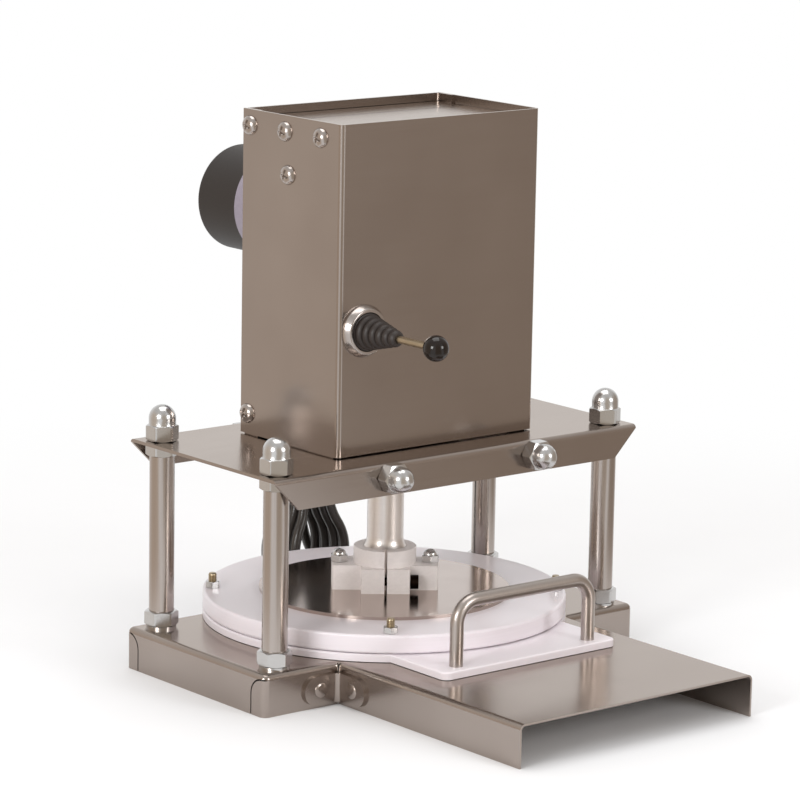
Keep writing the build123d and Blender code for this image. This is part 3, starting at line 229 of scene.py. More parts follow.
def relief(tree, shader, height, depth, strength):
    """Bump of a height from 0 to 1 that is depth metres deep."""
    bump = node(tree, "ShaderNodeBump", {"Height": height, "Distance": depth, "Strength": strength})
    tree.links.new(bump.outputs[0], shader.inputs["Normal"])


def darker(tone, share):
    """Colour with its light cut to a share."""
    return tuple(part * share for part in tone)


def brushed_stainless(look, size):
    """Stainless sheet, cold rolled and brushed: a broad warm sheen, straight streaks and handled patches."""
    made, tree, shader, place = start_material("stainless_sheet_brushed", metallic=1.0)
    # Seen along its face the sheet stays warm, so its edge reflection is tinted
    shader.inputs["Specular Tint"].default_value = (*look.sheet_edge, 1)
    # The real grain is about 0.1 mm wide, too fine to show, so it is drawn coarser
    across = MM / size.grain_width
    along = MM / size.grain_run
    on_front = stretched(tree, place, (along, across, across))
    on_side = stretched(tree, place, (across, along, across))
    normal = node(tree, "ShaderNodeNewGeometry").outputs["Normal"]
    facing = node(tree, "ShaderNodeSeparateXYZ", {0: normal})
    sideways = node(tree, "ShaderNodeMath", {0: facing.outputs["X"]}, operation="ABSOLUTE")
    # Faces within about 45 degrees of the X axis count as sides
    side_limit = 0.7
    is_side = node(tree, "ShaderNodeMath", {0: sideways.outputs[0], 1: side_limit}, operation="GREATER_THAN")
    on_face = node(
        tree, "ShaderNodeMix", {0: is_side.outputs[0], 4: on_front, 5: on_side}, data_type="VECTOR"
    )
    noise = {"Vector": on_face.outputs[1], "Scale": 1, "Detail": 3, "Roughness": 0.6}
    grain = node(tree, "ShaderNodeTexNoise", noise).outputs[0]
    patches = blotches(tree, place, width=60, detail=2)
    two_tone(tree, shader, patches, look.sheet, look.sheet_dull)
    rough_between(tree, shader, grain, low=0.16, high=0.25)
    relief(tree, shader, grain, depth=0.01 * MM, strength=0.15)
    return made


def plated_steel(name, tone):
    """Steel, plated bright: soft shining flats with a faint orange peel."""
    made, tree, shader, place = start_material(name, metallic=1.0)
    peel = blotches(tree, place, width=1.2, detail=2)
    two_tone(tree, shader, peel, tone, darker(tone, 0.92))
    rough_between(tree, shader, peel, low=0.16, high=0.26)
    relief(tree, shader, peel, depth=0.004 * MM, strength=0.2)
    return made


def drawn_bar(name, tone, low, high):
    """Stainless bar, drawn: fine upright lines vary its tone and gloss."""
    made, tree, shader, place = start_material(name, metallic=1.0)
    line_width = 0.7
    line_run = 40
    lines = streaks(tree, place, (line_width, line_width, line_run))
    two_tone(tree, shader, lines, tone, darker(tone, 0.85))
    rough_between(tree, shader, lines, low, high)
    return made


def turned_steel(name, tone):
    """Steel, turned, ground or machined: fine level lines soften its gloss."""
    made, tree, shader, place = start_material(name, metallic=1.0)
    ring_width = 0.8
    ring_run = 30
    rings = streaks(tree, place, (ring_run, ring_run, ring_width))
    two_tone(tree, shader, rings, tone, darker(tone, 0.95))
    rough_between(tree, shader, rings, low=0.3, high=0.38)
    relief(tree, shader, rings, depth=0.004 * MM, strength=0.2)
    return made


def milled_aluminium(look):
    """Aluminium, milled and tumbled: pale satin from its oxide skin, with faint cutter marks."""
    made, tree, shader, place = start_material("aluminium_milled", metallic=0.3)
    mark_width = 1.5
    mark_run = 12
    marks = streaks(tree, place, (mark_run, mark_width, mark_width))
    two_tone(tree, shader, marks, look.milled, darker(look.milled, 0.9))
    rough_between(tree, shader, marks, low=0.5, high=0.62)
    relief(tree, shader, marks, depth=0.01 * MM, strength=0.3)
    return made


def mirror_stainless(look):
    """Stainless disc, mirror polished: a clear dark reflection with faint patches of haze."""
    made, tree, shader, place = start_material("stainless_disc_polished", metallic=1.0)
    haze = blotches(tree, place, width=25, detail=4)
    two_tone(tree, shader, haze, look.mirror, darker(look.mirror, 0.85))
    rough_between(tree, shader, haze, low=0.12, high=0.19)
    return made


def white_polyethylene(look):
    """Polyethylene sheet, sawn and planed: soft glossy white with faint level saw lines round its edge."""
    made, tree, shader, place = start_material("polyethylene_planed", metallic=0.0, ior=1.51)
    shader.inputs["Subsurface Weight"].default_value = 0.1
    shader.inputs["Subsurface Radius"].default_value = (2 * MM, 1.6 * MM, 1.6 * MM)
    shader.inputs["Subsurface Scale"].default_value = 1.0
    line_width = 1.4
    line_run = 60
    lines = streaks(tree, place, (line_run, line_run, line_width))
    two_tone(tree, shader, lines, look.white, darker(look.white, 0.93))
    rough_between(tree, shader, lines, low=0.24, high=0.36)
    return made


def yellow_metal(name, tone):
    """Copper alloy, turned: warm and a little dull from handling."""
    made, tree, shader, place = start_material(name, metallic=1.0)
    tarnish = blotches(tree, place, width=4, detail=3)
    two_tone(tree, shader, tarnish, tone, darker(tone, 0.75))
    rough_between(tree, shader, tarnish, low=0.24, high=0.42)
    return made


def moulded_plastic(name, tone, low, high, grit, ior=1.53):
    """Hard plastic or enamel: an even colour with a fine grit in its skin."""
    made, tree, shader, place = start_material(name, metallic=0.0, ior=ior)
    grains = blotches(tree, place, width=grit, detail=3)
    two_tone(tree, shader, grains, tone, darker(tone, 0.8))
    rough_between(tree, shader, grains, low, high)
    relief(tree, shader, grains, depth=0.03 * MM, strength=0.3)
    return made


def moulded_rubber(name, tone, low, high):
    """Soft rubber or vinyl: a dusty bloom breaks up its dark sheen."""
    made, tree, shader, place = start_material(name, metallic=0.0, ior=1.52)
    bloom = blotches(tree, place, width=7, detail=4)
    two_tone(tree, shader, bloom, darker(tone, 0.75), tone)
    rough_between(tree, shader, bloom, low, high)
    relief(tree, shader, bloom, depth=0.03 * MM, strength=0.3)
    return made


def black_oxide(look):
    """Alloy steel, blacked in oil: dark satin."""
    made, tree, shader, place = start_material("steel_black_oxide", metallic=1.0)
    flecks = blotches(tree, place, width=1.5, detail=2)
    two_tone(tree, shader, flecks, look.black, darker(look.black, 0.7))
    rough_between(tree, shader, flecks, low=0.28, high=0.42)
    return made


def cast_housing(look):
    """Zinc alloy, die cast and left raw: grey with a fine pebbled skin."""
    made, tree, shader, place = start_material("zinc_die_cast", metallic=1.0)
    pebbles = blotches(tree, place, width=1.6, detail=3)
    two_tone(tree, shader, pebbles, look.cast, darker(look.cast, 0.85))
    rough_between(tree, shader, pebbles, low=0.42, high=0.6)
    relief(tree, shader, pebbles, depth=0.05 * MM, strength=0.5)
    return made


def dress(material, *names):
    """Give CAD nodes a material in every slot."""
    for name in names:
        mesh = nodes[name].data
        mesh.materials.clear()
        mesh.materials.append(material)


def solids_of(name):
    """Lowest and highest corners of each separate solid in a CAD node."""
    copy = bmesh.new()
    copy.from_mesh(nodes[name].data)
    bmesh.ops.remove_doubles(copy, verts=copy.verts, dist=TINY)
    left = set(copy.verts)
    found = []
    while left:
        island = [left.pop()]
        for vert in island:
            for edge in vert.link_edges:
                other = edge.other_vert(vert)
                if other in left:
                    left.remove(other)
                    island.append(other)
        low = Vector([min(vert.co[axis] for vert in island) for axis in range(3)])
        high = Vector([max(vert.co[axis] for vert in island) for axis in range(3)])
        found.append((low, high))
    copy.free()
    return sorted(found, key=lambda box: tuple(box[0]))


def underside(low, high):
    """Middle of a box's underside."""
    return Vector(((low.x + high.x) / 2, (low.y + high.y) / 2, low.z))


def piece(name, shape, body, slot, material, *replaced):
    """Mesh object from a bmesh, smooth up to a set angle, that rides on a body and stands for CAD nodes."""
    mesh = bpy.data.meshes.new(name)
    bmesh.ops.recalc_face_normals(shape, faces=shape.faces)
    shape.to_mesh(mesh)
    shape.free()
    mesh.shade_smooth()
    mesh.set_sharp_from_angle(angle=SMOOTH_ANGLE)
    mesh.materials.append(material)
    made = bpy.data.objects.new(name, mesh)
    bpy.context.scene.collection.objects.link(made)
    if body:
        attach(made, body)
    if replaced:
        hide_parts(*replaced)
    return made


def circle(shape, radius, height, steps, place):
    """Ring of vertices about the place's own Z axis, or one vertex where there is no radius."""
    if radius < TINY:
        return [shape.verts.new(place @ Vector((0, 0, height)))]
    ring = []
    for step in range(steps):
        turn = 2 * pi * step / steps
        ring.append(shape.verts.new(place @ Vector((radius * cos(turn), radius * sin(turn), height))))
    return ring


def lathe(shape, outline, steps, place):
    """Turn an outline of (radius, height) points about the place's own Z axis.

    An outline that ends where it starts makes a closed ring."""
    closed = outline[0] == outline[-1]
    points = outline[:-1] if closed else outline
    rings = [circle(shape, radius, height, steps, place) for radius, height in points]
    skin(shape, [*rings, rings[0]] if closed else rings)


def skin(shape, rings):
    """Faces between neighbouring rings, where a ring of one vertex is a tip."""
    for lower, upper in zip(rings, rings[1:]):
        count = max(len(lower), len(upper))
        for step in range(count):
            after = (step + 1) % count
            if len(lower) == 1:
                shape.faces.new((lower[0], upper[step], upper[after]))
            elif len(upper) == 1:
                shape.faces.new((lower[step], upper[0], lower[after]))
            else:
                shape.faces.new((lower[step], upper[step], upper[after], lower[after]))


def pointing(origin, out, across=None):
    """Matrix at an origin with Z along out, and X along across if it is given."""
    upright = Vector(out).normalized()
    side = Vector(across) if across else upright.orthogonal()
    side = (side - upright * side.dot(upright)).normalized()
    turn = Matrix((side, upright.cross(side), upright)).transposed().to_4x4()
    return Matrix.Translation(origin) @ turn


def hexagon(shape, flats, height, slope, place, crown):
    """Nut body with chamfered corners and a crown outline above it, two flats square to the place's X."""
    steps = 96
    sector = pi / 3
    half = flats / 2
    chamfer_start = half * 0.96
    corner_reach = half * 1.14
    seat_reach = chamfer_start * 0.6
    rings = [[] for _ in range(5)]
    for step in range(steps):
        turn = 2 * pi * step / steps
        within = (turn + sector / 2) % sector - sector / 2
        outer = min(half / cos(within), corner_reach)
        cut = (outer - chamfer_start) * tan(slope)
        levels = ((seat_reach, 0), (chamfer_start, 0), (outer, cut))
        levels += ((outer, height - cut), (chamfer_start, height))
        for ring, (radius, level) in zip(rings, levels):
            ring.append(shape.verts.new(place @ Vector((radius * cos(turn), radius * sin(turn), level))))
    rings += [circle(shape, radius, level, steps, place) for radius, level in crown]
    skin(shape, [circle(shape, 0, 0, steps, place), *rings])


def dome_crown(dome, hex_height, height):
    """Outline of a domed nut's cap, from its neck on the nut to its tip."""
    shoulder = max(height - dome / 2, hex_height)
    neck = dome / 2
    flare = 1.02
    fillet = 0.4 * MM
    rise = height - shoulder
    outline = [(neck * flare, hex_height), (neck, hex_height + fillet), (neck, shoulder)]
    steps = 12
    for step in range(1, steps):
        turn = pi / 2 * step / steps
        outline.append((neck * cos(turn), shoulder + rise * sin(turn)))
    return [*outline, (0, height)]


def flat_crown(bore, height):
    """Outline of a plain nut's top, with the end of the stud sunk a little in it."""
    groove = 0.25 * MM
    floor = height - groove
    return [(bore / 2, height), (bore / 2, floor), (bore / 2 - groove, floor), (0, floor)]


class PRESS_OT_stage(Operator):
    """Camera, pale floor and soft studio light"""

    bl_idname = "press.stage"
    bl_label = "Stage"

    def execute(self, context):
        studio = context.scene.press_studio
        context.scene.view_settings.view_transform = "Standard"
        lens = bpy.data.cameras.new("photo_camera")
        lens.lens = studio.lens
        lens.sensor_width = 36
        camera = bpy.data.objects.new("photo_camera", lens)
        ahead = Vector(studio.ahead).normalized()
        right = ahead.cross(Vector(studio.above)).normalized()
        turn = Matrix((right, right.cross(ahead), -ahead)).transposed().to_4x4()
        camera.matrix_world = Matrix.Translation(studio.eye) @ turn
        context.scene.collection.objects.link(camera)
        context.scene.camera = camera

        floor_reach = 12
        ground = bmesh.new()
        bmesh.ops.create_grid(ground, x_segments=1, y_segments=1, size=floor_reach)
        mesh = bpy.data.meshes.new("floor")
        ground.to_mesh(mesh)
        ground.free()
        floor = bpy.data.objects.new("floor", mesh)
        context.scene.collection.objects.link(floor)
        mesh.materials.append(self.floor_and_painted_glow(studio))

        world = bpy.data.worlds.new("studio")
        context.scene.world = world
        world.use_nodes = True
        sky = world.node_tree
        toward = node(sky, "ShaderNodeTexCoord").outputs["Generated"]
        sky.links.new(self.surroundings(sky, studio, toward), sky.nodes["Background"].inputs["Color"])

        middle = Vector((0, 0, 0.15))
        # Each lamp's name, place and width in metres, and power in watts
        lamps = (
            ("left_softbox", (-1.48, -0.44, 0.62), 0.5, 9),
            ("front_softbox", (0.43, -1.5, 0.6), 0.5, 6),
            ("top_softbox", (0.1, 0.2, 2.1), 1.4, 15),
        )
        for name, spot, width, power in lamps:
            light = bpy.data.lights.new(name, "AREA")
            light.shape = "SQUARE"
            light.size = width
            light.energy = power
            lamp = bpy.data.objects.new(name, light)
            lamp.location = spot
            lamp.rotation_mode = "QUATERNION"
            lamp.rotation_quaternion = (middle - Vector(spot)).to_track_quat("-Z", "Y")
            lamp.visible_camera = False
            context.scene.collection.objects.link(lamp)
        return {"FINISHED"}

    def walls(self, tree, studio, toward):
        """Colour of the studio in a direction: walls round the press, two lamp glows and a ceiling."""
        behind = (0.635, 0.772, 0)
        leftward = (-0.772, 0.635, 0)
        dot = "DOT_PRODUCT"
        deep = node(tree, "ShaderNodeVectorMath", {0: toward, 1: behind}, operation=dot).outputs["Value"]
        left = node(tree, "ShaderNodeVectorMath", {0: toward, 1: leftward}, operation=dot).outputs["Value"]
        angle = node(tree, "ShaderNodeMath", {0: left, 1: deep}, operation="ARCTAN2")
        share = node(tree, "ShaderNodeMapRange", {"Value": angle.outputs[0], "From Min": -pi, "From Max": pi})
        ramp = node(tree, "ShaderNodeValToRGB", {"Fac": share.outputs[0]})
        # Shares of a turn, from behind the camera round by the right
        stops = (
            (0.0, studio.near_wall),
            (0.1, studio.near_wall),
            (0.14, studio.lamp_glow),
            (0.165, studio.lamp_glow),
            (0.2, studio.right_wall),
            (0.33, studio.right_wall),
            (0.42, studio.white_wall),
            (0.6, studio.white_wall),
            (0.76, studio.left_wall),
            (0.87, studio.left_wall),
            (0.895, studio.lamp_glow),
            (0.98, studio.lamp_glow),
            (1.0, studio.near_wall),
        )
        elements = ramp.color_ramp.elements
        for place, _ in stops[1:-1]:
            elements.new(place)
        for element, (place, tone) in zip(elements, stops):
            element.position = place
            element.color = (*tone, 1)
        height = node(tree, "ShaderNodeSeparateXYZ", {0: toward}).outputs["Z"]
        ceiling_start = 0.35
        ceiling_end = 0.8
        rise = {"Value": height, "From Min": ceiling_start, "From Max": ceiling_end}
        upper = node(tree, "ShaderNodeMapRange", rise)
        tones = {0: upper.outputs[0], 6: ramp.outputs["Color"], 7: (*studio.ceiling, 1)}
        return node(tree, "ShaderNodeMix", tones, data_type="RGBA").outputs[2]

    def floor_and_painted_glow(self, studio):
        """Paint, rolled and matt, pale near the press; far from it the floor glows as bright as the walls:
        plain white to the camera, and in reflections a painted glow of the walls, with painted shade from the
        darker walls and painted pools of light before the two side lamps.
        """
        made, tree, shader, place = start_material("floor_matt_and_painted_glow", metallic=0.0)
        shader.inputs["Roughness"].default_value = 0.8
        flecks = blotches(tree, place, width=40, detail=2)
        two_tone(tree, shader, flecks, studio.floor, darker(studio.floor, 0.985))
        ray = node(tree, "ShaderNodeLightPath").outputs
        rays = {0: ray["Is Glossy Ray"], 1: ray["Is Transmission Ray"]}
        mirrored = node(tree, "ShaderNodeMath", rays, operation="MAXIMUM")
        seen_share = self.beyond(tree, place, ray["Is Camera Ray"], near=300, far=800)
        # In reflections the floor beyond about 180 mm glows with the walls: painted reflections of shade and
        # lamp light
        mirrored_share = self.beyond(tree, place, mirrored.outputs[0], near=180, far=420)
        share = node(tree, "ShaderNodeMath", {0: seen_share, 1: mirrored_share}, operation="MAXIMUM")
        toward = node(tree, "ShaderNodeVectorMath", {0: place}, operation="NORMALIZE").outputs[0]
        glow = node(tree, "ShaderNodeEmission", {"Color": self.surroundings(tree, studio, toward)})
        parts = {0: share.outputs[0], 1: shader.outputs[0], 2: glow.outputs[0]}
        blend = node(tree, "ShaderNodeMixShader", parts)
        tree.links.new(blend.outputs[0], tree.nodes["Material Output"].inputs["Surface"])
        return made

    def beyond(self, tree, place, ray, near, far):
        """Share that rises from 0 to 1 between two distances in millimetres, for one kind of ray."""
        away = node(tree, "ShaderNodeVectorMath", {0: place}, operation="LENGTH").outputs["Value"]
        span = {"Value": away, "From Min": near, "From Max": far}
        fade = node(tree, "ShaderNodeMapRange", span, interpolation_type="SMOOTHSTEP")
        return node(tree, "ShaderNodeMath", {0: ray, 1: fade.outputs[0]}, operation="MULTIPLY").outputs[0]

    def surroundings(self, tree, studio, toward):
        """Studio walls for light and reflections, and a white backdrop for the camera; on the floor the walls
        are a painted glow seen in reflections.
        """
        seen = node(tree, "ShaderNodeLightPath").outputs["Is Camera Ray"]
        walls = self.walls(tree, studio, toward)
        mix = node(tree, "ShaderNodeMix", {0: seen, 6: walls, 7: (*studio.backdrop, 1)}, data_type="RGBA")
        return mix.outputs[2]


class PRESS_OT_mains_lead(Operator):
    """Mains lead from the gland to the plug, tied in a hank behind the press"""

    bl_idname = "press.mains_lead"
    bl_label = "Mains lead"

    def execute(self, context):
        look = context.scene.press_finishes
        size = context.scene.press_sizes
        jacket = moulded_rubber("vinyl_extruded", look.vinyl, low=0.16, high=0.28)
        rubber = moulded_rubber("rubber_moulded", look.rubber, low=0.38, high=0.56)
        plastic = moulded_plastic("vinyl_plug_moulded", look.black, low=0.3, high=0.42, grit=0.8)
        # The lead's points are in millimetres
        exit_point = Vector((59, 110, 163.5))
        points = self.route(exit_point)

        line = bpy.data.curves.new("mains_cord", "CURVE")
        line.dimensions = "3D"
        line.bevel_depth = size.cord_diameter / 2
        line.bevel_resolution = 5
        line.resolution_u = 10
        line.use_fill_caps = True
        spline = line.splines.new("NURBS")
        spline.points.add(len(points) - 1)
        for control, point in zip(spline.points, points):
            control.co = (*(point * MM), 1)
        spline.order_u = 3
        spline.use_endpoint_u = True
        line.materials.append(jacket)
        cord = bpy.data.objects.new("mains_cord", line)
        context.scene.collection.objects.link(cord)
        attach(cord, "frame")
        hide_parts("cord_lead", "cord_hank", "cord_tail")
        dress(jacket, "cord_tie")
        dress(plastic, "plug_body", "cord_gland")
        dress(plated_steel("zinc_plated_steel", look.bright), "plug_pins")
        self.strain_relief(size, rubber)
        return {"FINISHED"}

    def route(self, exit_point):
        """Control points of the lead: down from the gland, round the hank and on to the plug."""
        lead = [(0, 0, 0), (0, 16, 0), (0.6, 30.8, -6.1)]
        lead += [(1.8, 42.1, -17.4), (3, 48.2, -32.2), (3, 48.2, -48.2)]
        points = [exit_point + Vector(step) for step in lead]
        hang = points[-1]
        # One turn of the hank falls through the waist, rounds the foot, climbs a layer and rounds the crown
        fold = 20
        waist = 9
        bends = 6
        bend_step = pi / bends
        corner = fold / cos(bend_step / 2)
        turns = [(bend + 0.5) * bend_step for bend in range(bends)]
        arc = [(corner * cos(turn), corner * sin(turn)) for turn in turns]
        crown_level = 108.9
        shoulder_level = 96.8
        waist_top = 78.8
        waist_bottom = 61
        ankle_level = 43
        foot_level = 30.9
        fall = [(fold, 0, shoulder_level), (waist, 0, waist_top)]
        fall += [(waist, 0, waist_bottom), (fold, 0, ankle_level)]
        foot = [(x, 0, foot_level - rise) for x, rise in arc]
        climb = [(-fold, 0, ankle_level), (-waist, 0.3, waist_bottom)]
        climb += [(-waist, 0.7, waist_top), (-fold, 1, shoulder_level)]
        crown = [(-x, 1, crown_level + rise) for x, rise in arc]
        layer_step = 7.4
        loops = 4
        middle = 42
        fan = 2
        for layer in range(loops):
            for x, part, z in fall + foot + climb + crown:
                # Below the tie the turns fan out, the first to the right and the last to the left
                below_tie = min(max((waist_top - z) / (waist_top - ankle_level), 0), 1)
                lean = fan * ((loops - 1) / 2 - layer) * below_tie
                points.append(Vector((middle + x + lean, hang.y + (layer + part) * layer_step, z)))
        last = hang.y + loops * layer_step
        points += [Vector((middle + x, last, z)) for x, _, z in fall[:3]]
        tail = [(0, 0, -16), (5.5, 0.5, -31), (16.2, 1.5, -43.8), (30.8, 2.5, -52.5), (54.8, 3, -56)]
        tail += [(71.9, -14.1, -56), (71.9, -38.3, -55), (54.8, -55.4, -50), (30.6, -55.4, -49)]
        tail_start = Vector((54, last, 59.5))
        return points + [tail_start + Vector(step) for step in tail]

    def strain_relief(self, size, rubber):
        """Tapered sleeve round the lead at the gland, with a groove after each rib."""
        low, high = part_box("strain_relief")
        root = (high.x - low.x) / 2
        tip = 4 * MM
        run = high.y - low.y
        ribs = 7
        groove = 0.9 * MM
        # Share of one rib's length, and share of the groove's depth there
        rib_outline = ((0.0, 0.0), (0.55, 0.0), (0.6, 1.0), (0.95, 1.0))
        outline = [(0, 0)]
        for rib in range(ribs):
            for share, depth in rib_outline:
                along = (rib + share) / ribs
                outline.append((root + (tip - root) * along - depth * groove, along * run))
        outline += [(tip, run), (size.cord_diameter / 2, run), (0, run)]
        shape = bmesh.new()
        foot = ((low.x + high.x) / 2, low.y, (low.z + high.z) / 2)
        lathe(shape, outline, steps=40, place=pointing(foot, BACK))
        piece("ribbed_strain_relief", shape, "frame", "black_rubber", rubber, "strain_relief")


class PRESS_OT_sheet_metal(Operator):
    """Brushed stainless sheet of the base, top plate and head"""

    bl_idname = "press.sheet_metal"
    bl_label = "Sheet metal"

    def execute(self, context):
        sheet = brushed_stainless(context.scene.press_finishes, context.scene.press_sizes)
        dress(sheet, "base_plate", "corner_brackets", "top_plate")
        dress(sheet, "head_cover", "rear_panel", "head_lid", "lid_strip")
        shape = bmesh.new()
        rise = 1.1 * MM
        shank = 2 * MM
        dome_steps = 10
        for low, high in solids_of("bracket_rivets"):
            middle = (low + high) / 2
            spread = high - low
            head = sorted(spread)[1] / 2
            if spread.x < spread.y:
                side = 1 if middle.x > 0 else -1
                out = (side, 0, 0)
                origin = Vector((high.x if side > 0 else low.x, middle.y, middle.z))
            else:
                out = FRONT
                origin = Vector((middle.x, low.y, middle.z))
            outline = [(0, -rise - shank), (shank, -rise - shank), (shank, -rise)]
            for step in range(dome_steps):
                turn = pi / 2 * step / dome_steps
                outline.append((head * cos(turn), rise * sin(turn) - rise))
            outline.append((0, 0))
            lathe(shape, outline, steps=40, place=pointing(origin, out))
        piece("bracket_dome_rivets", shape, "frame", "brushed_stainless", sheet, "bracket_rivets")
        return {"FINISHED"}


class PRESS_OT_columns(Operator):
    """Drawn columns with chamfered hex nuts below and domed nuts on top, and the tie rods' nuts"""

    bl_idname = "press.columns"
    bl_label = "Columns and nuts"

    def execute(self, context):
        look = context.scene.press_finishes
        slope = context.scene.press_sizes.nut_chamfer
        bright = plated_steel("zinc_plated_steel", look.bright)
        columns = drawn_bar("stainless_bar_drawn", look.drawn, low=0.17, high=0.25)
        dress(columns, "column_front_left", "column_front_right", "column_rear_left", "column_rear_right")
        dress(bright, "column_washers", "tie_rods")

        shape = bmesh.new()
        stud = 12 * MM
        for low, high in solids_of("column_nuts"):
            wide = high.x - low.x
            deep = high.y - low.y
            height = high.z - low.z
            place = pointing(underside(low, high), UP, RIGHT if wide < deep else BACK)
            hexagon(shape, min(wide, deep), height, slope, place, flat_crown(stud, height))
        piece("column_hex_nuts", shape, "frame", "bright_steel", bright, "column_nuts")

        shape = bmesh.new()
        column_hex = 9.6 * MM
        column_dome = 16.2 * MM
        for low, high in solids_of("column_cap_nuts"):
            crown = dome_crown(column_dome, column_hex, high.z - low.z)
            place = pointing(underside(low, high), UP, RIGHT)
            hexagon(shape, high.x - low.x, column_hex, slope, place, crown)
        piece("column_dome_nuts", shape, "frame", "bright_steel", bright, "column_cap_nuts")

        shape = bmesh.new()
        tie_hex = 8.2 * MM
        tie_dome = 15.0 * MM
        for low, high in solids_of("tie_rod_cap_nuts"):
            seat = Vector(((low.x + high.x) / 2, high.y, (low.z + high.z) / 2))
            crown = dome_crown(tie_dome, tie_hex, high.y - low.y)
            hexagon(shape, high.z - low.z, tie_hex, slope, pointing(seat, FRONT, UP), crown)
        piece("tie_rod_dome_nuts", shape, "frame", "bright_steel", bright, "tie_rod_cap_nuts")

        shape = bmesh.new()
        tie_bore = 8.4 * MM
        for low, high in solids_of("tie_rod_back_nuts"):
            seat = Vector(((low.x + high.x) / 2, low.y, (low.z + high.z) / 2))
            height = high.y - low.y
            crown = flat_crown(tie_bore, height)
            hexagon(shape, high.z - low.z, height, slope, pointing(seat, BACK, UP), crown)
        piece("tie_rod_hex_nuts", shape, "frame", "bright_steel", bright, "tie_rod_back_nuts")
        return {"FINISHED"}


class PRESS_OT_cover_screws(Operator):
    """Pan-head cover screws with a cross recess"""

    bl_idname = "press.cover_screws"
    bl_label = "Cover screws"

    def execute(self, context):
        size = context.scene.press_sizes
        screw_metal = plated_steel("nickel_plated_steel", context.scene.press_finishes.nickel)
        shape = bmesh.new()
        head_height = 3.6 * MM
        shank = 2 * MM
        run = 9 * MM
        chamfer = 0.6 * MM
        shank_outline = [(0, -run), (shank - chamfer, -run), (shank, -run + chamfer), (shank, 0)]
        recess_turn = Matrix.Rotation(radians(28), 4, "Z")
        for low, high in solids_of("cover_screws"):
            middle = (low + high) / 2
            spread = high - low
            if spread.z > spread.x:
                out = UP
                seat = Vector((middle.x, middle.y, low.z + run))
            else:
                side = 1 if middle.x > 0 else -1
                out = (side, 0, 0)
                seat = Vector(((low.x if side > 0 else high.x) + side * run, middle.y, middle.z))
            place = pointing(seat, out) @ recess_turn
            self.pan_head(shape, place, shank_outline, sorted(spread)[1] / 2, head_height, size)
        piece("cover_cross_screws", shape, "frame", "bright_steel", screw_metal, "cover_screws")
        return {"FINISHED"}

    def pan_head(self, shape, place, shank_outline, radius, height, size):
        """Screw with a shank's outline below and a domed head whose top is pressed in along a cross."""
        steps = 64
        levels = 18
        # Powers of the dome's outline, which make a full shoulder and a flat top
        swell = 2.6
        flatten = 0.62
        rings = [circle(shape, reach, level, steps, place) for reach, level in shank_outline]
        for level in range(levels):
            reach = radius * (1 - level / levels)
            rise = height * (1 - (reach / radius) ** swell) ** flatten
            rings.append([])
            for step in range(steps):
                turn = 2 * pi * step / steps
                spot = Vector((reach * cos(turn), reach * sin(turn), 0))
                spot.z = rise - self.sunk(spot, radius, size)
                rings[-1].append(shape.verts.new(place @ spot))
        rings.append(circle(shape, 0, height - size.recess_depth, steps, place))
        skin(shape, rings)

    def sunk(self, spot, radius, size):
        """Depth of the cross recess at a spot of the head."""
        wall_run = 0.3 * MM
        end_run = 1.2 * MM
        arm_reach = radius * 0.6
        across = min(abs(spot.x), abs(spot.y))
        along = max(abs(spot.x), abs(spot.y))
        wall = min(1, max(0, (size.recess_width / 2 - across) / wall_run))
        end = min(1, max(0, (arm_reach - along) / end_run))
        return size.recess_depth * wall * end


class PRESS_OT_ram(Operator):
    """Press rod, split clamp, polished disc, white platen and thickness stops"""

    bl_idname = "press.ram"
    bl_label = "Ram"

    def execute(self, context):
        look = context.scene.press_finishes
        size = context.scene.press_sizes
        slope = size.nut_chamfer
        bright = plated_steel("zinc_plated_steel", look.bright)
        brass = yellow_metal("brass_turned", look.brass)
        dress(turned_steel("steel_rod_ground", look.ground), "press_rod")
        dress(milled_aluminium(look), "rod_clamp", "guide_block", "power_supply")
        dress(mirror_stainless(look), "backing_plate")
        dress(white_polyethylene(look), "platen", "slide_board")
        dress(black_oxide(look), "clamp_screw")
        dress(bright, "hub_screws")
        dress(yellow_metal("bronze_turned", look.bronze), "guide_bush")

        ram_turn = radians(-37)
        across = (cos(ram_turn), sin(ram_turn), 0)
        shape = bmesh.new()
        clamp_flats = 10 * MM
        clamp_hex = 4.5 * MM
        clamp_dome = 8.4 * MM
        for low, high in solids_of("hub_cap_nuts"):
            crown = dome_crown(clamp_dome, clamp_hex, high.z - low.z)
            place = pointing(underside(low, high), UP, across)
            hexagon(shape, clamp_flats, clamp_hex, slope, place, crown)
        piece("clamp_dome_nuts", shape, "ram", "bright_steel", bright, "hub_cap_nuts")

        shape = bmesh.new()
        stop_flats = 8 * MM
        stop_bore = 5.2 * MM
        for low, high in solids_of("stop_nuts"):
            height = high.z - low.z
            place = pointing(underside(low, high), UP, across)
            hexagon(shape, stop_flats, height, slope, place, flat_crown(stop_bore, height))
        piece("stop_lock_nuts", shape, "ram", "bright_steel", bright, "stop_nuts")

        shape = bmesh.new()
        thread_depth = 0.35 * MM
        tip_chamfer = 0.3 * MM
        pitch = size.thread_pitch
        for low, high in solids_of("stop_studs"):
            radius = (high.x - low.x) / 2
            run = high.z - low.z
            root = radius - thread_depth
            outline = [(0, 0), (root, 0)]
            for turn in range(int(run / pitch) - 1):
                foot = (turn + 0.5) * pitch
                outline += [(root, foot), (radius, foot + 0.4 * pitch), (radius, foot + 0.6 * pitch)]
            outline += [(root, run - tip_chamfer), (root - tip_chamfer, run), (0, run)]
            lathe(shape, outline, steps=28, place=pointing(underside(low, high), UP))
        piece("stop_threaded_studs", shape, "ram", "brass_stud", brass, "stop_studs")
        return {"FINISHED"}


class PRESS_OT_handle(Operator):
    """Bent bar handle of the slide-out board"""

    bl_idname = "press.handle"
    bl_label = "Handle"

    def execute(self, context):
        bar = drawn_bar("stainless_bar_satin", context.scene.press_finishes.drawn, low=0.26, high=0.36)
        dress(bar, "handle", "handle_screws")
        return {"FINISHED"}


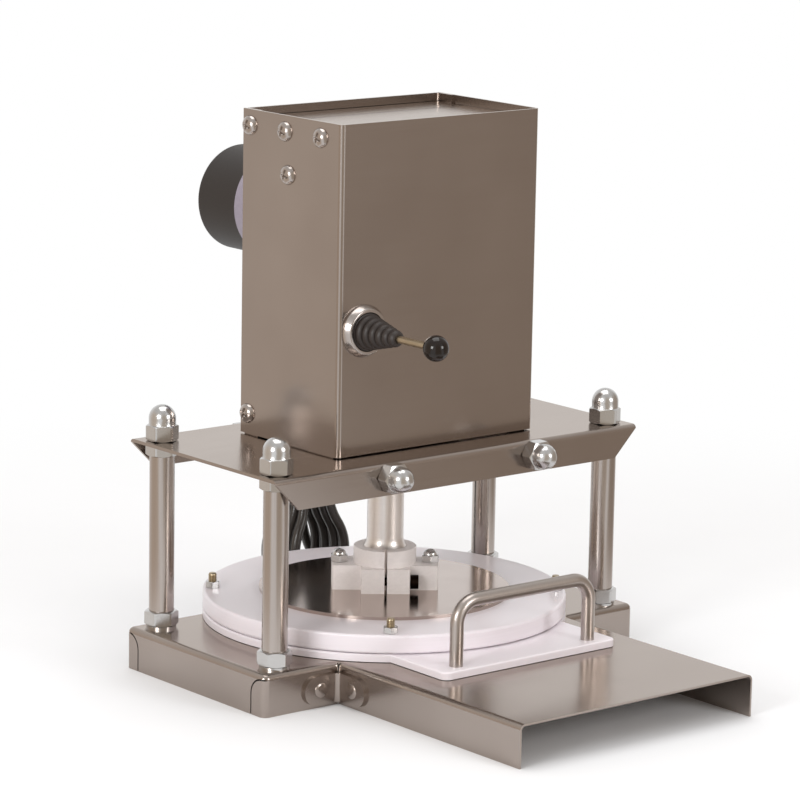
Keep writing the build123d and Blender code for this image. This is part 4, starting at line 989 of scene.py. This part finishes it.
class PRESS_OT_joystick(Operator):
    """Joystick: bezel, bellows boot, lever and ball"""

    bl_idname = "press.joystick"
    bl_label = "Joystick"

    def execute(self, context):
        look = context.scene.press_finishes
        size = context.scene.press_sizes
        bright = plated_steel("zinc_plated_steel", look.bright)
        body = moulded_plastic("nylon_moulded", look.black, low=0.4, high=0.55, grit=0.9)
        ring_metal = plated_steel("nickel_plated_steel", look.nickel)
        dress(body, "joystick_barrel", "joystick_contacts")
        dress(yellow_metal("brass_turned", look.brass), "joystick_lever")
        dress(bright, "joystick_lock_ring", "joystick_pin")
        low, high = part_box("joystick_ring")
        axis = Vector(((low.x + high.x) / 2, high.y, (low.z + high.z) / 2))
        bore = 11.1 * MM
        self.bezel(axis, (high.x - low.x) / 2, high.y - low.y, bore, ring_metal)
        gloss = moulded_plastic("phenolic_ball_polished", look.ball, low=0.06, high=0.12, grit=6.0, ior=1.42)
        self.ball(gloss)
        rubber = moulded_rubber("rubber_bellows_moulded", look.rubber, low=0.38, high=0.56)
        self.bellows(axis, bore, size.bellows_folds, rubber)
        return {"FINISHED"}

    def bezel(self, axis, flange, front, bore, metal):
        """Ring round the boot's root: a thin flange on the cover that slopes up to a soft nose."""
        flange_edge = 1.2 * MM
        flange_top = 1.6 * MM
        nose = 13.4 * MM
        ease = 0.2 * MM
        lip = 0.1 * MM
        soft = 0.5 * MM
        outline = [(bore, 0), (flange, 0), (flange, flange_edge), (flange - ease, flange_top)]
        outline += [(nose + ease, front - soft), (nose - ease, front - lip), (nose - soft, front)]
        outline += [(bore + soft, front), (bore, front - soft), (bore, 0)]
        shape = bmesh.new()
        lathe(shape, outline, steps=72, place=pointing(axis, FRONT))
        piece("joystick_bezel", shape, "frame", "bright_steel", metal, "joystick_ring")

    def ball(self, gloss):
        """Ball with a flat collar and a bore for the lever."""
        low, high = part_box("joystick_knob")
        centre = (low + high) / 2
        radius = (high.x - low.x) / 2
        centre.y = low.y + radius
        ball_steps = 28
        neck = -radius + 0.9 * MM
        collar = 3.4 * MM
        collar_level = -radius + 0.5 * MM
        bore = 2.25 * MM
        bore_level = -radius + 0.4 * MM
        outline = [(0, radius)]
        for step in range(1, ball_steps + 1):
            turn = pi * step / ball_steps
            along = radius * cos(turn)
            if along > neck:
                outline.append((radius * sin(turn), along))
        outline += [(collar, collar_level), (bore, bore_level), (bore, 0), (0, 0)]
        shape = bmesh.new()
        lathe(shape, outline, steps=56, place=pointing(centre, FRONT))
        piece("joystick_ball", shape, "lever", "black_plastic", gloss, "joystick_knob")

    def bellows(self, axis, ring_bore, folds, rubber):
        """Rubber boot with round folds that get smaller and shallower to its tip, and a plain inner wall."""
        low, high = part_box("joystick_boot")
        run = high.y - low.y
        root = (high.x - low.x) / 2
        root_bore = ring_bore - 3 * MM
        tip = 4.4 * MM
        tip_lip = 1 * MM
        tip_bore = 2.3 * MM
        skirt = 1.0 * MM
        groove_depth = 2.6 * MM
        groove_taper = 0.5
        fold_steps = 12
        outline = [(root_bore, 0), (root, 0), (root, skirt)]
        for step in range(1, folds * fold_steps):
            along = step / (folds * fold_steps)
            crest = root + (tip - root) * along
            groove = groove_depth * (1 - groove_taper * along)
            # From -1 to 1 over each fold, whose outline is half an ellipse
            across = 2 * (step % fold_steps) / fold_steps - 1
            radius = crest - groove * (1 - (1 - across * across) ** 0.5)
            outline.append((radius, skirt + (run - skirt) * along))
        outline.append((tip - tip_lip, run))
        # The inner wall is a plain cone from the tip back to the root
        for step in range(folds, -1, -1):
            along = step / folds
            outline.append((root_bore + (tip_bore - root_bore) * along, run * along))
        shape = bmesh.new()
        lathe(shape, outline, steps=56, place=pointing((axis.x, high.y, axis.z), FRONT))
        boot = piece("joystick_bellows", shape, None, "black_rubber", rubber, "joystick_boot")
        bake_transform(boot)


class PRESS_OT_drive(Operator):
    """Motor, gearbox, pinion and drive bracket"""

    bl_idname = "press.drive"
    bl_label = "Drive"

    def execute(self, context):
        look = context.scene.press_finishes
        steel = turned_steel("steel_machined", look.drawn)
        cap = moulded_plastic("abs_cap_moulded", look.black, low=0.46, high=0.58, grit=0.8)
        dress(cap, "motor_cap")
        enamel = moulded_plastic("enamel_sprayed", look.shell, low=0.3, high=0.42, grit=3.0)
        dress(enamel, "motor_can")
        dress(cast_housing(look), "gearbox_housing")
        dress(steel, "drive_bracket", "drive_pinion", "output_shaft", "foot_bolts", "drive_screws")
        acetal = moulded_plastic("acetal_machined", look.acetal, low=0.35, high=0.45, grit=2.0, ior=1.48)
        dress(acetal, "rod_guide")
        return {"FINISHED"}


class PRESS_PT_panel(Panel):
    """Press pieces"""

    bl_idname = "PRESS_PT_panel"
    bl_label = "Dough press"
    bl_space_type = "VIEW_3D"
    bl_region_type = "UI"
    bl_category = "Press"

    def draw(self, context):
        for operator in operators:
            self.layout.operator(operator.bl_idname)


operators = (
    PRESS_OT_stage,
    PRESS_OT_mains_lead,
    PRESS_OT_sheet_metal,
    PRESS_OT_columns,
    PRESS_OT_cover_screws,
    PRESS_OT_ram,
    PRESS_OT_handle,
    PRESS_OT_joystick,
    PRESS_OT_drive,
)
groups = {"press_finishes": PressFinishes, "press_sizes": PressSizes, "press_studio": PressStudio}


def register():
    for group in (*groups.values(), *operators, PRESS_PT_panel):
        bpy.utils.register_class(group)
    for name, group in groups.items():
        setattr(bpy.types.Scene, name, PointerProperty(type=group))


def unregister():
    for name in groups:
        delattr(bpy.types.Scene, name)
    for group in reversed((*groups.values(), *operators, PRESS_PT_panel)):
        bpy.utils.unregister_class(group)


def main():
    register()
    bpy.ops.press.stage()
    bpy.ops.press.mains_lead()
    bpy.ops.press.sheet_metal()
    bpy.ops.press.columns()
    bpy.ops.press.cover_screws()
    bpy.ops.press.ram()
    bpy.ops.press.handle()
    bpy.ops.press.joystick()
    bpy.ops.press.drive()


if __name__ == "__main__":
    main()
